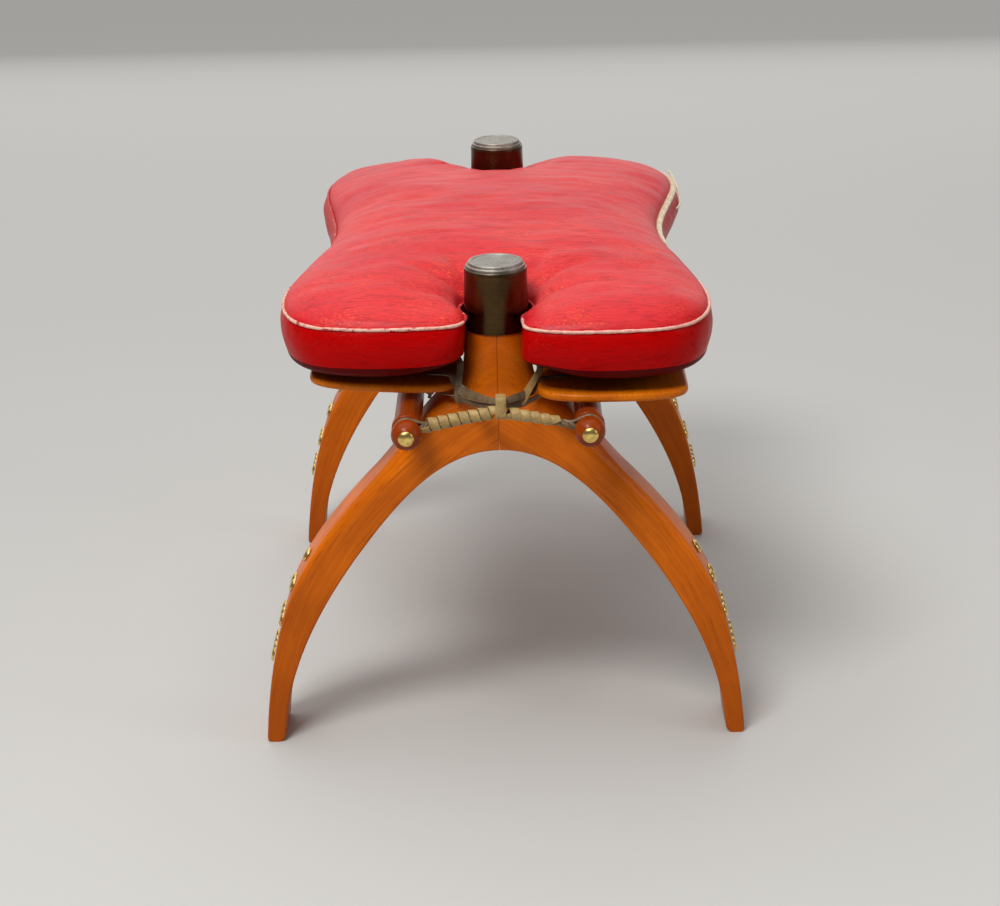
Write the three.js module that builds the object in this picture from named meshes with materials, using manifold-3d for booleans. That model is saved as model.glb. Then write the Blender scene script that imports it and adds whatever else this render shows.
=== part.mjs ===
// A camel-saddle stool. Two arched wooden wishbones stand one behind the other, each made of two leg halves
// dowelled together under a turned neck with a metal cap. Two long rods are lashed to their shoulders, two thin
// boards lie on the rods, and a loose leather cushion with keyhole notches drops over the two capped necks.
// Millimetres, +Z up. The origin is on the floor under the middle, the front faces -Y and the length runs along Y.
import * as THREE from 'three';
import { mergeVertices } from 'three/addons/utils/BufferGeometryUtils.js';
import Module from 'manifold-3d';

const wasm = await Module();
wasm.setup();

// ---- driving dimensions ---------------------------------------------------------------------------------------
const GAP = 0.3;                 // clearance left between touching pieces
const FOOT_SPAN = 470;           // across the outside of the feet
const WISHBONE_Y = 260;          // a wishbone's middle plane from the centre
const WISHBONE_DEPTH = 64;       // thickness of the legs along Y
const ARCH_TOP = 300;            // underside of the arch at the seam
const NECK_TOP = 468;
const CAP_TOP = 477.2;
const CAP_RIM = 413;             // lower rim of the cap
const ROD_X = 83.4;
const ROD_Z = 343;
const ROD_RADIUS = 12.7;
const ROD_HALF = 375;
const KNOB_RADIUS = 14.25;
const GROOVE_RADIUS = 10.4;      // groove behind the ball at each end of a rod
const GROOVE_Y = 353;
const BOARD_IN = 36.8;           // inner edge of a seat board from the centre line
const BOARD_WIDTH = 140;
const BOARD_LENGTH = 640;
const BOARD_THICK = 8;
const CUSHION_BOTTOM = 377;
const SEAM_TOP = 430.7;          // where the boxing meets the top panel
const CROWN = 29;
const SKIN = 2;
const STUD_RADIUS = 7.5;
const STUD_HEIGHT = 3.3;
const STUD_PITCH = 14.6;
const STRAND_RADIUS = 1.7;
const WHIPPING_RADIUS = 6.2;
const WHIPPING_BORE = 4.4;

const BOARD_MID = BOARD_IN + BOARD_WIDTH / 2;

// Each board lies a little differently: how far it reaches forward, its underside and its tilt about Y.
const BOARDS = {
  left: { side: -1, front: -304, under: 363.7, tilt: THREE.MathUtils.degToRad(3.6) },
  right: { side: 1, front: -337, under: 360.7, tilt: 0 },
};

// ---- materials ------------------------------------------------------------------------------------------------
const material = (color, roughness, metalness = 0) =>
  new THREE.MeshStandardMaterial({ color, roughness, metalness });
const WOOD = () => material(0xb5601f, 0.35);
const WOOD_LIGHT = () => material(0xc97a2c, 0.35);
const WOOD_PALE = () => material(0xd2b48c, 0.6);
const OLD_BRASS = () => material(0x4a3a28, 0.4, 0.8);
const BRASS = () => material(0xd6ad4a, 0.25, 1);
const RED_LEATHER = () => material(0xb81f2b, 0.45);
const FADED_LEATHER = () => material(0xc8463f, 0.55);
const RAWHIDE = () => material(0xb99a5e, 0.6);
const DARK_RAWHIDE = () => material(0x7d6a4c, 0.7);
const COTTON = () => material(0x9c2a2a, 0.9);
const PIPING_LEATHER = () => material(0xdcae98, 0.7);
const LACE = () => material(0xd8c39a, 0.6);

// ---- geometry helpers -----------------------------------------------------------------------------------------
const stool = new THREE.Group();

function addMesh(name, geometry, meshMaterial) {
  const closed = tidy(geometry);
  closed.computeVertexNormals();
  const mesh = new THREE.Mesh(closed, meshMaterial);
  mesh.name = name;
  stool.add(mesh);
  return mesh;
}

// Position-only copy with shared vertices, faces turned outwards.
function tidy(geometry) {
  const bare = geometry.clone();
  bare.deleteAttribute('normal');
  bare.deleteAttribute('uv');
  const merged = mergeVertices(bare, 1e-4);
  const p = merged.attributes.position;
  const index = Array.from(merged.index.array);
  const kept = [];
  const a = new THREE.Vector3();
  const b = new THREE.Vector3();
  const c = new THREE.Vector3();
  let volume = 0;
  for (let i = 0; i < index.length; i += 3) {
    const [i0, i1, i2] = index.slice(i, i + 3);
    if (i0 === i1 || i1 === i2 || i2 === i0) continue;
    kept.push(i0, i1, i2);
    a.fromBufferAttribute(p, i0);
    b.fromBufferAttribute(p, i1);
    c.fromBufferAttribute(p, i2);
    volume += a.dot(b.cross(c));
  }
  if (volume < 0) kept.reverse();
  merged.setIndex(kept);
  return merged;
}

function toSolid(geometry) {
  const shared = tidy(geometry);
  return new wasm.Manifold(new wasm.Mesh({
    numProp: 3,
    vertProperties: new Float32Array(shared.attributes.position.array),
    triVerts: new Uint32Array(shared.index.array),
  }));
}

function toGeometry(solid) {
  const mesh = solid.getMesh();
  const geometry = new THREE.BufferGeometry();
  const positions = new Float32Array(mesh.numVert * 3);
  for (let i = 0; i < mesh.numVert; i += 1) {
    positions.set(mesh.vertProperties.subarray(i * mesh.numProp, i * mesh.numProp + 3), i * 3);
  }
  geometry.setAttribute('position', new THREE.BufferAttribute(positions, 3));
  geometry.setIndex(Array.from(mesh.triVerts));
  geometry.computeVertexNormals();
  return geometry;
}

// Plan shape (x, y) raised from z0 to z1.
function extrudeUp(shape, z0, z1, curveSegments = 8) {
  const geometry = new THREE.ExtrudeGeometry(shape, { depth: z1 - z0, bevelEnabled: false, curveSegments });
  return geometry.translate(0, 0, z0);
}

// Front-view shape (x, z) carried from y0 to y1.
function extrudeBack(shape, y0, y1, curveSegments = 7) {
  const geometry = new THREE.ExtrudeGeometry(shape, { depth: y1 - y0, bevelEnabled: false, curveSegments });
  return geometry.rotateX(Math.PI / 2).translate(0, y1, 0);
}

// [radius, height] pairs turned about the Z axis.
function turned(pairs, segments) {
  const points = pairs.map(([r, z]) => new THREE.Vector2(r, z));
  return new THREE.LatheGeometry(points, segments).rotateX(Math.PI / 2);
}

// Round cord of a given radius through hand-set points.
function cord(points, radius, steps, sides = 8) {
  const path = new THREE.CatmullRomCurve3(points.map((p) => new THREE.Vector3(...p)), false, 'centripetal');
  const section = new THREE.Shape();
  for (let i = 0; i < sides; i += 1) {
    const angle = (2 * Math.PI * i) / sides;
    const corner = [radius * Math.cos(angle), radius * Math.sin(angle)];
    if (i === 0) section.moveTo(...corner);
    else section.lineTo(...corner);
  }
  return new THREE.ExtrudeGeometry(section, { extrudePath: path, steps, bevelEnabled: false });
}

// Closed loop of round cord.
function loop(points, radius, steps, sides = 8) {
  const path = new THREE.CatmullRomCurve3(points.map((p) => new THREE.Vector3(...p)), true, 'centripetal');
  return tidy(new THREE.TubeGeometry(path, steps, radius, sides, true));
}

// ---- wishbones ------------------------------------------------------------------------------------------------
// Front view of one half: up the inside of the arch, over the shoulder and down the outside to the foot.
function halfOutline(side) {
  const seam = GAP / 2;
  const outer = FOOT_SPAN / 2;
  const s = new THREE.Shape();
  const x = (value) => side * value;
  s.moveTo(x(seam), ARCH_TOP);
  s.bezierCurveTo(x(55), ARCH_TOP, x(95.5), 252, x(131.5), 204);
  s.bezierCurveTo(x(176.5), 144, x(213), 76, x(217), 4);
  s.quadraticCurveTo(x(217.4), 0, x(221), 0);
  s.lineTo(x(outer - 3.5), 0);
  s.quadraticCurveTo(x(outer), 0, x(outer), 4);
  s.bezierCurveTo(x(231.5), 54, x(222), 111, x(205), 153);
  s.bezierCurveTo(x(188), 194, x(154.5), 234, x(124), 267);
  s.bezierCurveTo(x(107), 283.5, x(76), 328, x(58), 345);
  s.lineTo(x(46), 354);
  s.lineTo(x(46), NECK_TOP);
  s.lineTo(x(seam), NECK_TOP);
  s.closePath();
  return s;
}

// The neck is turned: round under the cap, then flaring into the flat-sided shoulders.
const NECK_PROFILE = [
  [0, NECK_TOP], [26.9, NECK_TOP], [28.4, CAP_RIM - GAP], [30, CAP_RIM - GAP], [30.4, 402], [31.2, 390],
  [32.4, 379], [34, 368], [36, 360.5], [40, 355.5], [46, 352], [58, 348], [82, 340], [300, 330], [300, -10], [0, -10],
];
const DOWELS = { lower: 322, upper: 372 };
const DOWEL_RADIUS = 4;
const DOWEL_LENGTH = 40;

function crossPin(radius, length, z) {
  return new THREE.CylinderGeometry(radius, radius, length, 16).rotateZ(Math.PI / 2).translate(0, 0, z);
}

function legHalf(side) {
  let half = toSolid(extrudeBack(halfOutline(side), -WISHBONE_DEPTH / 2, WISHBONE_DEPTH / 2));
  half = half.intersect(toSolid(turned(NECK_PROFILE, 24)));
  for (const z of Object.values(DOWELS)) {
    half = half.subtract(toSolid(crossPin(DOWEL_RADIUS + GAP, DOWEL_LENGTH + 1, z)));
  }
  return toGeometry(half);
}

// The cap steps in twice towards a shallow dished top.
const CAP_PROFILE = [
  [0, CAP_TOP - 0.8], [21, CAP_TOP - 0.8], [21.7, CAP_TOP], [25.6, CAP_TOP], [26, CAP_TOP - 3.1],
  [27.6, CAP_TOP - 3.3], [27.9, CAP_TOP - 6.1], [29.2, CAP_TOP - 6.3], [29.9, 440], [30.8, CAP_RIM],
  [28.9, CAP_RIM], [27.4, NECK_TOP + GAP], [0, NECK_TOP + GAP],
];

// ---- studs ----------------------------------------------------------------------------------------------------
const STUD_PROFILE = [
  [0, 0], [STUD_RADIUS, 0], [STUD_RADIUS - 0.4, 1.1], [STUD_RADIUS * 0.6, 2.7], [0, STUD_HEIGHT],
];
// Rows of one, two, three and four studs down the outside of a leg: middle of each row (x, z) and face angle.
const STUD_ROWS = [
  { x: 188.9, z: 185.5, angle: 31.5 },
  { x: 203.5, z: 156.8, angle: 26 },
  { x: 215.1, z: 123.8, angle: 19.5 },
  { x: 223.9, z: 90.3, angle: 14 },
];

// Studs of a row touch rim to rim, so the row is one piece.
function studRow(count) {
  let row = null;
  for (let i = 0; i < count; i += 1) {
    const y = (i - (count - 1) / 2) * STUD_PITCH;
    const stud = toSolid(turned(STUD_PROFILE, 8).translate(0, y, 0));
    row = row ? row.add(stud) : stud;
  }
  return toGeometry(row);
}

function addStudRows(end, side, y) {
  const sideName = side < 0 ? 'left' : 'right';
  STUD_ROWS.forEach((place, i) => {
    const mesh = addMesh(`${end}_${sideName}_studs_row_${i + 1}`, studRow(i + 1), BRASS());
    const tilt = THREE.MathUtils.degToRad(place.angle);
    const normal = new THREE.Vector3(side * Math.cos(tilt), 0, Math.sin(tilt));
    mesh.position.set(side * place.x, y, place.z).addScaledVector(normal, 2 * GAP);
    mesh.rotation.y = side * (Math.PI / 2 - tilt);
  });
}

// ---- rods -----------------------------------------------------------------------------------------------------
// Half profile of a rod from its middle to one end: [radius, distance from the middle].
function rodEndProfile() {
  const flat = 7.4;                                   // seat of the end stud
  const start = Math.asin(flat / KNOB_RADIUS);
  const rise = KNOB_RADIUS * (1 - Math.cos(start));
  const pairs = [];
  const steps = 4;
  for (let i = 0; i <= steps; i += 1) {
    const angle = start + ((Math.PI / 2 - start) * i) / steps;
    pairs.push([KNOB_RADIUS * Math.sin(angle), ROD_HALF - KNOB_RADIUS * (1 - Math.cos(angle)) + rise]);
  }
  const half = 2.4;                                   // half the width of the groove
  pairs.push([KNOB_RADIUS, GROOVE_Y + 8], [GROOVE_RADIUS, GROOVE_Y + half], [GROOVE_RADIUS, GROOVE_Y - half]);
  pairs.push([KNOB_RADIUS, GROOVE_Y - 3.2], [KNOB_RADIUS, GROOVE_Y - 11.5], [ROD_RADIUS, GROOVE_Y - 13]);
  return pairs;
}

function rodGeometry() {
  const end = rodEndProfile();
  const front = end.map(([r, y]) => [r, -y]);
  const back = [...end].reverse();
  return turned([[0, -ROD_HALF], ...front, ...back, [0, ROD_HALF]], 14).rotateX(-Math.PI / 2);
}

// ---- seat boards ----------------------------------------------------------------------------------------------
// Plan of a board: straight sides and broad round ends that follow a superellipse.
const STRAP_SLOT_X = 64;
const STRAP_Y = 284.5;

function boardOutline(board) {
  const half = BOARD_WIDTH / 2;
  const endDepth = 34;
  const power = 2.8;
  const back = board.front + BOARD_LENGTH;
  const s = new THREE.Shape();
  const endPoint = (t, y, direction) => {
    const u = Math.cos(t);
    const swell = Math.abs(u) ** power;
    const depth = endDepth * (1 - (1 - swell) ** (1 / power));
    return [half * u, y + direction * depth];
  };
  const steps = 16;
  for (let i = 0; i <= steps; i += 1) {
    const point = endPoint(Math.PI * (1 - i / steps), board.front, 1);
    if (i === 0) s.moveTo(...point);
    else s.lineTo(...point);
  }
  for (let i = 0; i <= steps; i += 1) s.lineTo(...endPoint((Math.PI * i) / steps, back, -1));
  s.closePath();
  for (const y of [-STRAP_Y, STRAP_Y]) {
    const slot = new THREE.Path();
    slot.absarc(-board.side * (BOARD_MID - STRAP_SLOT_X), y, STRAP_RADIUS + 1.6, 0, 2 * Math.PI, true);
    s.holes.push(slot);
  }
  return s;
}

const boardTop = (board, x) =>
  board.under + BOARD_THICK - Math.sin(board.tilt) * (x - board.side * BOARD_MID);

// ---- lashings at one end --------------------------------------------------------------------------------------
// A cord lies in the grooves of both rods; its two runs are drawn together between them and bound with whipping.
const STRAP_RADIUS = 2;
const PINCH_X = 63;                                    // outer end of the left whipping
const LOOP_RADIUS = GROOVE_RADIUS + 2 * GAP + STRAND_RADIUS;
const BUNDLE_MIDDLE_Z = 360.3;
const BUNDLE_END_Z = 348.5;
const bundleZ = (x) => BUNDLE_MIDDLE_Z - ((BUNDLE_MIDDLE_Z - BUNDLE_END_Z) * Math.abs(x)) / PINCH_X;

function rodLoopPoints(end) {
  const y = end * GROOVE_Y;
  const apart = STRAND_RADIUS + 0.15;
  const points = [];
  const run = (sign, xs) => xs.forEach((x) => points.push([x, y, bundleZ(x) + sign * apart]));
  const round = (side, angles) => angles.forEach((degrees) => {
    const a = THREE.MathUtils.degToRad(degrees);
    points.push([side * (ROD_X + LOOP_RADIUS * Math.cos(a)), y, ROD_Z + LOOP_RADIUS * Math.sin(a)]);
  });
  const upperFirst = [118, 85, 50, 15, -20, -55, -90, -125, -158];
  run(1, [-PINCH_X, -40, -6, 6, 40, PINCH_X]);
  round(1, upperFirst);
  run(-1, [PINCH_X, 40, 6, -6, -40, -PINCH_X]);
  round(-1, [...upperFirst].reverse());
  return points;
}

// Sleeve round both runs of the cord from x0 to x1.
function whipping(end, x0, x1) {
  const a = new THREE.Vector3(x0, end * GROOVE_Y, bundleZ(x0));
  const b = new THREE.Vector3(x1, end * GROOVE_Y, bundleZ(x1));
  const length = a.distanceTo(b);
  const sleeve = toSolid(new THREE.CylinderGeometry(WHIPPING_RADIUS, WHIPPING_RADIUS, length, 12));
  const bore = toSolid(new THREE.CylinderGeometry(WHIPPING_BORE, WHIPPING_BORE, length + 2, 12));
  const geometry = toGeometry(sleeve.subtract(bore));
  geometry.applyQuaternion(new THREE.Quaternion().setFromUnitVectors(
    new THREE.Vector3(0, 1, 0), b.clone().sub(a).normalize(),
  ));
  const middle = a.add(b).multiplyScalar(0.5);
  return geometry.translate(middle.x, middle.y, middle.z);
}

// Flat band round the middle of the bundle: a rectangular ring seen from the side.
function centreTie(end) {
  const width = 9.6;
  const thick = 1.6;
  const inside = { low: 353.8, high: 373.3, near: GROOVE_Y - 4.7, far: GROOVE_Y + 6.2 };
  const ring = (grow) => {
    const sizeY = inside.far - inside.near + 2 * grow;
    const sizeZ = inside.high - inside.low + 2 * grow;
    return toSolid(new THREE.BoxGeometry(width + (grow ? 0 : 2), sizeY, sizeZ));
  };
  const band = toGeometry(ring(thick).subtract(ring(0)));
  return band.translate(0, (end * (inside.near + inside.far)) / 2, (inside.low + inside.high) / 2);
}

// A strap from the centre tie, up beside the neck, over the board's inner edge, down its slot to a stopper knot.
function boardStrap(end, board) {
  const { side } = board;
  const rise = [
    [5.6, 353.5, 369.2], [10.5, 350, 369.2], [19, 329, 365.5], [28.4, 302, 361.8], [33, 287.5, 365],
  ];
  const points = rise.map(([x, y, z]) => [side * x, end * y, z]);
  for (const [x, above] of [[35, 3.4], [42, 2.9], [52, 2.6], [60, 2.5], [STRAP_SLOT_X, -1]]) {
    points.push([side * x, end * STRAP_Y, boardTop(board, side * x) + above]);
  }
  const under = boardTop(board, side * STRAP_SLOT_X) - BOARD_THICK;
  points.push([side * STRAP_SLOT_X, end * STRAP_Y, under]);
  points.push([side * STRAP_SLOT_X, end * STRAP_Y, under - 5]);
  const knot = new THREE.SphereGeometry(4.4, 8, 6).translate(side * STRAP_SLOT_X, end * STRAP_Y, under - 5.5);
  return toGeometry(toSolid(cord(points, STRAP_RADIUS, 34, 6)).add(toSolid(knot)));
}

// ---- cushion --------------------------------------------------------------------------------------------------
const NOTCH_RADIUS = 37;
const PIPING = 1.7;               // half the thickness of the piping
const WAIST = 167;
// Lobes of the cushion: how far each reaches, its greatest half-width, where its end turns into its side, and
// how far its edge stands from the centre line at the mouth of the notch.
const FRONT_LEFT = { reach: 323, widest: 201, shoulder: 150, throat: 29 };
const FRONT_RIGHT = { reach: 343, widest: 199, shoulder: 150, throat: 25.5 };
const REAR_LEFT = { reach: 320, widest: 190, shoulder: 128, throat: 26.5 };
const REAR_RIGHT = { reach: 320, widest: 195, shoulder: 130, throat: 25.5 };

// One corner lobe, from the waist out to the end and in to the notch, in the quadrant (sx, sy).
function lobe(sx, sy, { reach, widest, shoulder, throat }) {
  const path = new THREE.Path();
  const mouth = Math.sqrt(NOTCH_RADIUS ** 2 - throat ** 2);
  path.moveTo(WAIST, 0);
  path.bezierCurveTo(WAIST, 80, widest, 155, widest, 212);
  path.bezierCurveTo(widest, reach - 55, shoulder + 0.76 * (widest - shoulder), reach - 16, shoulder, reach - 6);
  path.quadraticCurveTo(105, reach + 4, 60, reach - 3);
  path.quadraticCurveTo(throat + 7.5, reach - 7, throat + 1, reach - 24);
  path.lineTo(throat, WISHBONE_Y + mouth);
  path.absarc(0, WISHBONE_Y, NOTCH_RADIUS, Math.atan2(mouth, throat), -Math.PI / 2, true);
  return path.getPoints(5).map((p) => new THREE.Vector2(sx * p.x, sy * p.y));
}

function cushionRing() {
  const corners = [
    lobe(1, -1, FRONT_RIGHT), lobe(-1, -1, FRONT_LEFT).reverse(),
    lobe(-1, 1, REAR_LEFT), lobe(1, 1, REAR_RIGHT).reverse(),
  ];
  const ring = [];
  for (const point of corners.flat()) {
    const last = ring[ring.length - 1];
    if (!last || last.distanceTo(point) > 0.5) ring.push(point);
  }
  if (ring[0].distanceTo(ring[ring.length - 1]) < 0.5) ring.pop();
  return ring;
}

// The ring moved inwards by a distance (outwards when negative).
function inset(ring, distance) {
  const n = ring.length;
  return ring.map((point, i) => {
    const along = ring[(i + 1) % n].clone().sub(ring[(i + n - 1) % n]).normalize();
    return new THREE.Vector2(point.x + along.y * distance, point.y - along.x * distance);
  });
}

const RING = cushionRing();

function distanceToRing(x, y) {
  const at = new THREE.Vector2(x, y);
  if (!insideRing(x, y)) return 0;
  return Math.min(...RING.map((p) => p.distanceTo(at)));
}

function insideRing(x, y) {
  let inside = false;
  RING.forEach((a, i) => {
    const b = RING[(i + 1) % RING.length];
    const crosses = (a.y > y) !== (b.y > y);
    if (crosses && x < ((b.x - a.x) * (y - a.y)) / (b.y - a.y) + a.x) inside = !inside;
  });
  return inside;
}

// Everything below the crowned top, lowered by a distance.
function underCrown(lowered) {
  const box = new THREE.BoxGeometry(440, 720, 1, 11, 18, 1);
  const p = box.attributes.position;
  for (let i = 0; i < p.count; i += 1) {
    const rise = CROWN * (1 - Math.exp(-distanceToRing(p.getX(i), p.getY(i)) / 22));
    p.setZ(i, p.getZ(i) > 0 ? SEAM_TOP + GAP + SKIN + rise - lowered : CUSHION_BOTTOM - 20);
  }
  return toSolid(box);
}

function addCushion() {
  const plan = (distance) => new THREE.Shape(inset(RING, distance));
  const column = (distance, z0, z1) => toSolid(extrudeUp(plan(distance), z0, z1));
  const bottomSkin = column(1, CUSHION_BOTTOM, CUSHION_BOTTOM + SKIN);
  const wallFoot = CUSHION_BOTTOM + SKIN + GAP;
  const boxing = column(0, wallFoot, SEAM_TOP).subtract(column(SKIN, wallFoot - 1, SEAM_TOP + 1));
  const top = column(0, SEAM_TOP + GAP, 500).intersect(underCrown(0)).subtract(underCrown(SKIN));
  const filling = column(SKIN + GAP, wallFoot, 500).intersect(underCrown(SKIN + GAP));
  addMesh('cushion_bottom_panel', toGeometry(bottomSkin), RED_LEATHER());
  addMesh('cushion_boxing', toGeometry(boxing), RED_LEATHER());
  addMesh('cushion_top_panel', toGeometry(top), FADED_LEATHER());
  addMesh('cushion_filling', toGeometry(filling), COTTON());
  const pipeLow = SEAM_TOP - PIPING;
  const pipeHigh = SEAM_TOP + PIPING;
  const piping = column(-(2 * PIPING + GAP), pipeLow, pipeHigh).subtract(column(-GAP, pipeLow - 1, pipeHigh + 1));
  addMesh('cushion_piping', toGeometry(piping), PIPING_LEATHER());
  addMesh('cushion_lacing', lacing(), LACE());
  addMesh('cushion_lace_loop', cord(LACE_LOOP, LACE_RADIUS, 28), LACE());
}

// Sewn lacing that closes the top seam along the right side, from the waist round the rear lobe.
const LACING = { from: -50, to: 280 };

function lacing() {
  const seam = inset(RING, -1.5).filter((p) => p.x > 0 && p.y > LACING.from && p.y < LACING.to && p.x > 150);
  seam.sort((a, b) => a.y - b.y);
  return cord(seam.map((p) => [p.x, p.y, SEAM_TOP + PIPING + GAP + 1.4]), 1.2, 40, 6);
}

// A loose bight of the lace, out of the lacing at the rear lobe and back into the boxing below the seam.
const LACE_RADIUS = 1.25;
const LACE_LOOP = [
  [196.2, 262, 436.3], [197.3, 256, 436.0], [198.9, 248, 434.3], [200.4, 239, 431.8], [201.8, 229, 429.0],
  [202.9, 218, 426.3], [203.6, 206, 423.8], [203.9, 195, 421.8], [203.7, 184, 420.2], [202.8, 174, 419.0],
  [201.0, 166, 418.3], [198.6, 159.5, 418.2], [195.6, 154.5, 418.7], [192.8, 150, 419.9], [190.6, 145.5, 421.3],
  [189.0, 141, 422.4],
];

// ---- the stool ------------------------------------------------------------------------------------------------
const LEG_HALVES = { left: legHalf(-1), right: legHalf(1) };
const ENDS = { front: -1, rear: 1 };

for (const [name, end] of Object.entries(ENDS)) {
  const y = end * WISHBONE_Y;
  for (const [sideName, geometry] of Object.entries(LEG_HALVES)) {
    addMesh(`${name}_${sideName}_leg`, geometry, WOOD()).position.y = y;
    addStudRows(name, sideName === 'left' ? -1 : 1, y);
  }
  for (const [level, z] of Object.entries(DOWELS)) {
    addMesh(`${name}_${level}_dowel`, crossPin(DOWEL_RADIUS, DOWEL_LENGTH, z), WOOD_PALE()).position.y = y;
  }
  addMesh(`${name}_horn_cap`, turned(CAP_PROFILE, 24), OLD_BRASS()).position.y = y;

  addMesh(`${name}_rod_lashing`, loop(rodLoopPoints(end), STRAND_RADIUS, 56, 6), DARK_RAWHIDE());
  addMesh(`${name}_whipping_left`, whipping(end, -60, -6.5), RAWHIDE());
  addMesh(`${name}_whipping_right`, whipping(end, 6.5, 52), RAWHIDE());
  addMesh(`${name}_centre_tie`, centreTie(end), RAWHIDE());
  for (const [sideName, board] of Object.entries(BOARDS)) {
    addMesh(`${name}_board_strap_${sideName}`, boardStrap(end, board), DARK_RAWHIDE());
  }
}

for (const [sideName, board] of Object.entries(BOARDS)) {
  const rod = addMesh(`${sideName}_rod`, rodGeometry(), WOOD());
  rod.position.set(board.side * ROD_X, 0, ROD_Z);
  for (const [endName, end] of Object.entries(ENDS)) {
    const stud = addMesh(`${sideName}_rod_${endName}_stud`, turned(STUD_PROFILE, 12), BRASS());
    stud.position.set(board.side * ROD_X, end * (ROD_HALF + GAP), ROD_Z);
    stud.rotation.x = -end * (Math.PI / 2);
  }
  const plank = addMesh(`${sideName}_seat_board`, extrudeUp(boardOutline(board), 0, BOARD_THICK), WOOD_LIGHT());
  plank.position.set(board.side * BOARD_MID, 0, board.under);
  plank.rotation.y = board.tilt;
}

addCushion();

export default stool;
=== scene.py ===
"""Camel-saddle stool: the finished surfaces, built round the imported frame.

Outlines are in millimetres and become metres when a mesh is made. +Z is up and the front faces -Y.
"""
import math

import bmesh
import bpy
import numpy as np
from mathutils import Matrix, Vector, geometry, noise


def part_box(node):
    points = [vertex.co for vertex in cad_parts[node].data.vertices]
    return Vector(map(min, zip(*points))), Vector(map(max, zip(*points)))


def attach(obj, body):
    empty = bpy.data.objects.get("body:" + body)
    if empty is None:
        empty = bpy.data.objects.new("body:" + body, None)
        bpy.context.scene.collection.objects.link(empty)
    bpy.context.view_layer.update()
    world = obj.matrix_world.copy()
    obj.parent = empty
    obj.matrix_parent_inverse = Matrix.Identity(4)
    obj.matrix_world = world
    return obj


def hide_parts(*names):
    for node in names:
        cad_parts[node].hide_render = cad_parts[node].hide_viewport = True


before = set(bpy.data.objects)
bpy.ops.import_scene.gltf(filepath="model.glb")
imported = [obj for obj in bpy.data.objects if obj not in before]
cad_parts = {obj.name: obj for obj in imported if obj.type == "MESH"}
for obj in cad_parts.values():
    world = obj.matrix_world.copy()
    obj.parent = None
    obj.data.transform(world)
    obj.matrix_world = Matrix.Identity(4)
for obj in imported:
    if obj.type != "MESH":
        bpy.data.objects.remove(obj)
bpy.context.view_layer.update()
MM = 0.001


def lowest(node):
    return np.array(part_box(node)[0]) / MM


def highest(node):
    return np.array(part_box(node)[1]) / MM


# ---- dimensions, the same as the frame's ----
LEG_LOW, LEG_HIGH = lowest("front_right_leg"), highest("front_right_leg")
FOOT_OUT = LEG_HIGH[0]
NECK_TOP = LEG_HIGH[2]
WISHBONE_Y = -(LEG_LOW[1] + LEG_HIGH[1]) / 2
HALF_DEPTH = (LEG_HIGH[1] - LEG_LOW[1]) / 2
CAP_TOP = highest("front_horn_cap")[2]
CAP_RIM = lowest("front_horn_cap")[2]
ROD_X = (lowest("right_rod_front_stud")[0] + highest("right_rod_front_stud")[0]) / 2
ROD_Z = (lowest("right_rod_front_stud")[2] + highest("right_rod_front_stud")[2]) / 2
ROD_HALF = highest("right_rod")[1]
ROD_RADIUS = 12.7
KNOB_RADIUS = 14.25
STUD_RADIUS = 7.5
STUD_HEIGHT = 3.3
STUD_PITCH = 14.6
BOARD_THICK = 8
LASH_Y = (lowest("rear_whipping_left")[1] + highest("rear_whipping_left")[1]) / 2
GROOVE_RADIUS = 10.4            # groove behind the ball at each end of a rod, where the lashing lies
SEAM_TOP = lowest("cushion_piping")[2] + 1.7
CUSHION_BOTTOM = lowest("cushion_bottom_panel")[2]
SEAM_LOW = CUSHION_BOTTOM + 16.5        # where the boxing meets the bottom panel
ENDS = {"front": -1, "rear": 1}
SIDES = {"left": -1, "right": 1}


# ---- camera ----
def add_camera():
    place = Vector((0.0194, -2.3793, 1.0544))
    yaw, pitch, roll = math.radians(0.238), math.radians(19.79), math.radians(1.113)
    forward = Vector((math.sin(yaw) * math.cos(pitch), math.cos(yaw) * math.cos(pitch), -math.sin(pitch)))
    level = Vector((math.cos(yaw), -math.sin(yaw), 0))
    down = forward.cross(level)
    right = math.cos(roll) * level + math.sin(roll) * down
    up = math.sin(roll) * level - math.cos(roll) * down
    data = bpy.data.cameras.new("camera")
    data.sensor_width = 36
    data.lens = 84.76
    data.shift_x = -0.0291
    data.shift_y = -0.0061
    camera = bpy.data.objects.new("camera", data)
    turn = Matrix((right, up, -forward)).transposed().to_4x4()
    camera.matrix_world = Matrix.Translation(place) @ turn
    bpy.context.scene.collection.objects.link(camera)
    bpy.context.scene.camera = camera


add_camera()


# ---- mesh helpers ----
def add_piece(name, parts, look, body, replaces=(), sharp=40, attributes=None):
    """One piece from (points, faces) parts in millimetres, riding on a body in place of its CAD nodes."""
    points, faces = joined(parts)
    mesh = bpy.data.meshes.new(name)
    mesh.from_pydata((points * MM).tolist(), [], faces)
    for key, values in (attributes or {}).items():
        flat = np.asarray(values, dtype=np.float32)
        kind, field = ("FLOAT_VECTOR", "vector") if flat.ndim == 2 else ("FLOAT", "value")
        mesh.attributes.new(key, kind, "POINT").data.foreach_set(field, flat.ravel())
    edit = bmesh.new()
    edit.from_mesh(mesh)
    bmesh.ops.remove_doubles(edit, verts=edit.verts, dist=3e-6)
    bmesh.ops.recalc_face_normals(edit, faces=edit.faces)
    edit.to_mesh(mesh)
    edit.free()
    mesh.shade_smooth()
    mesh.set_sharp_from_angle(angle=math.radians(sharp))
    mesh.materials.append(look)
    piece = bpy.data.objects.new(name, mesh)
    bpy.context.scene.collection.objects.link(piece)
    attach(piece, body)
    if replaces:
        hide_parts(*replaces)
    return piece


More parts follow.
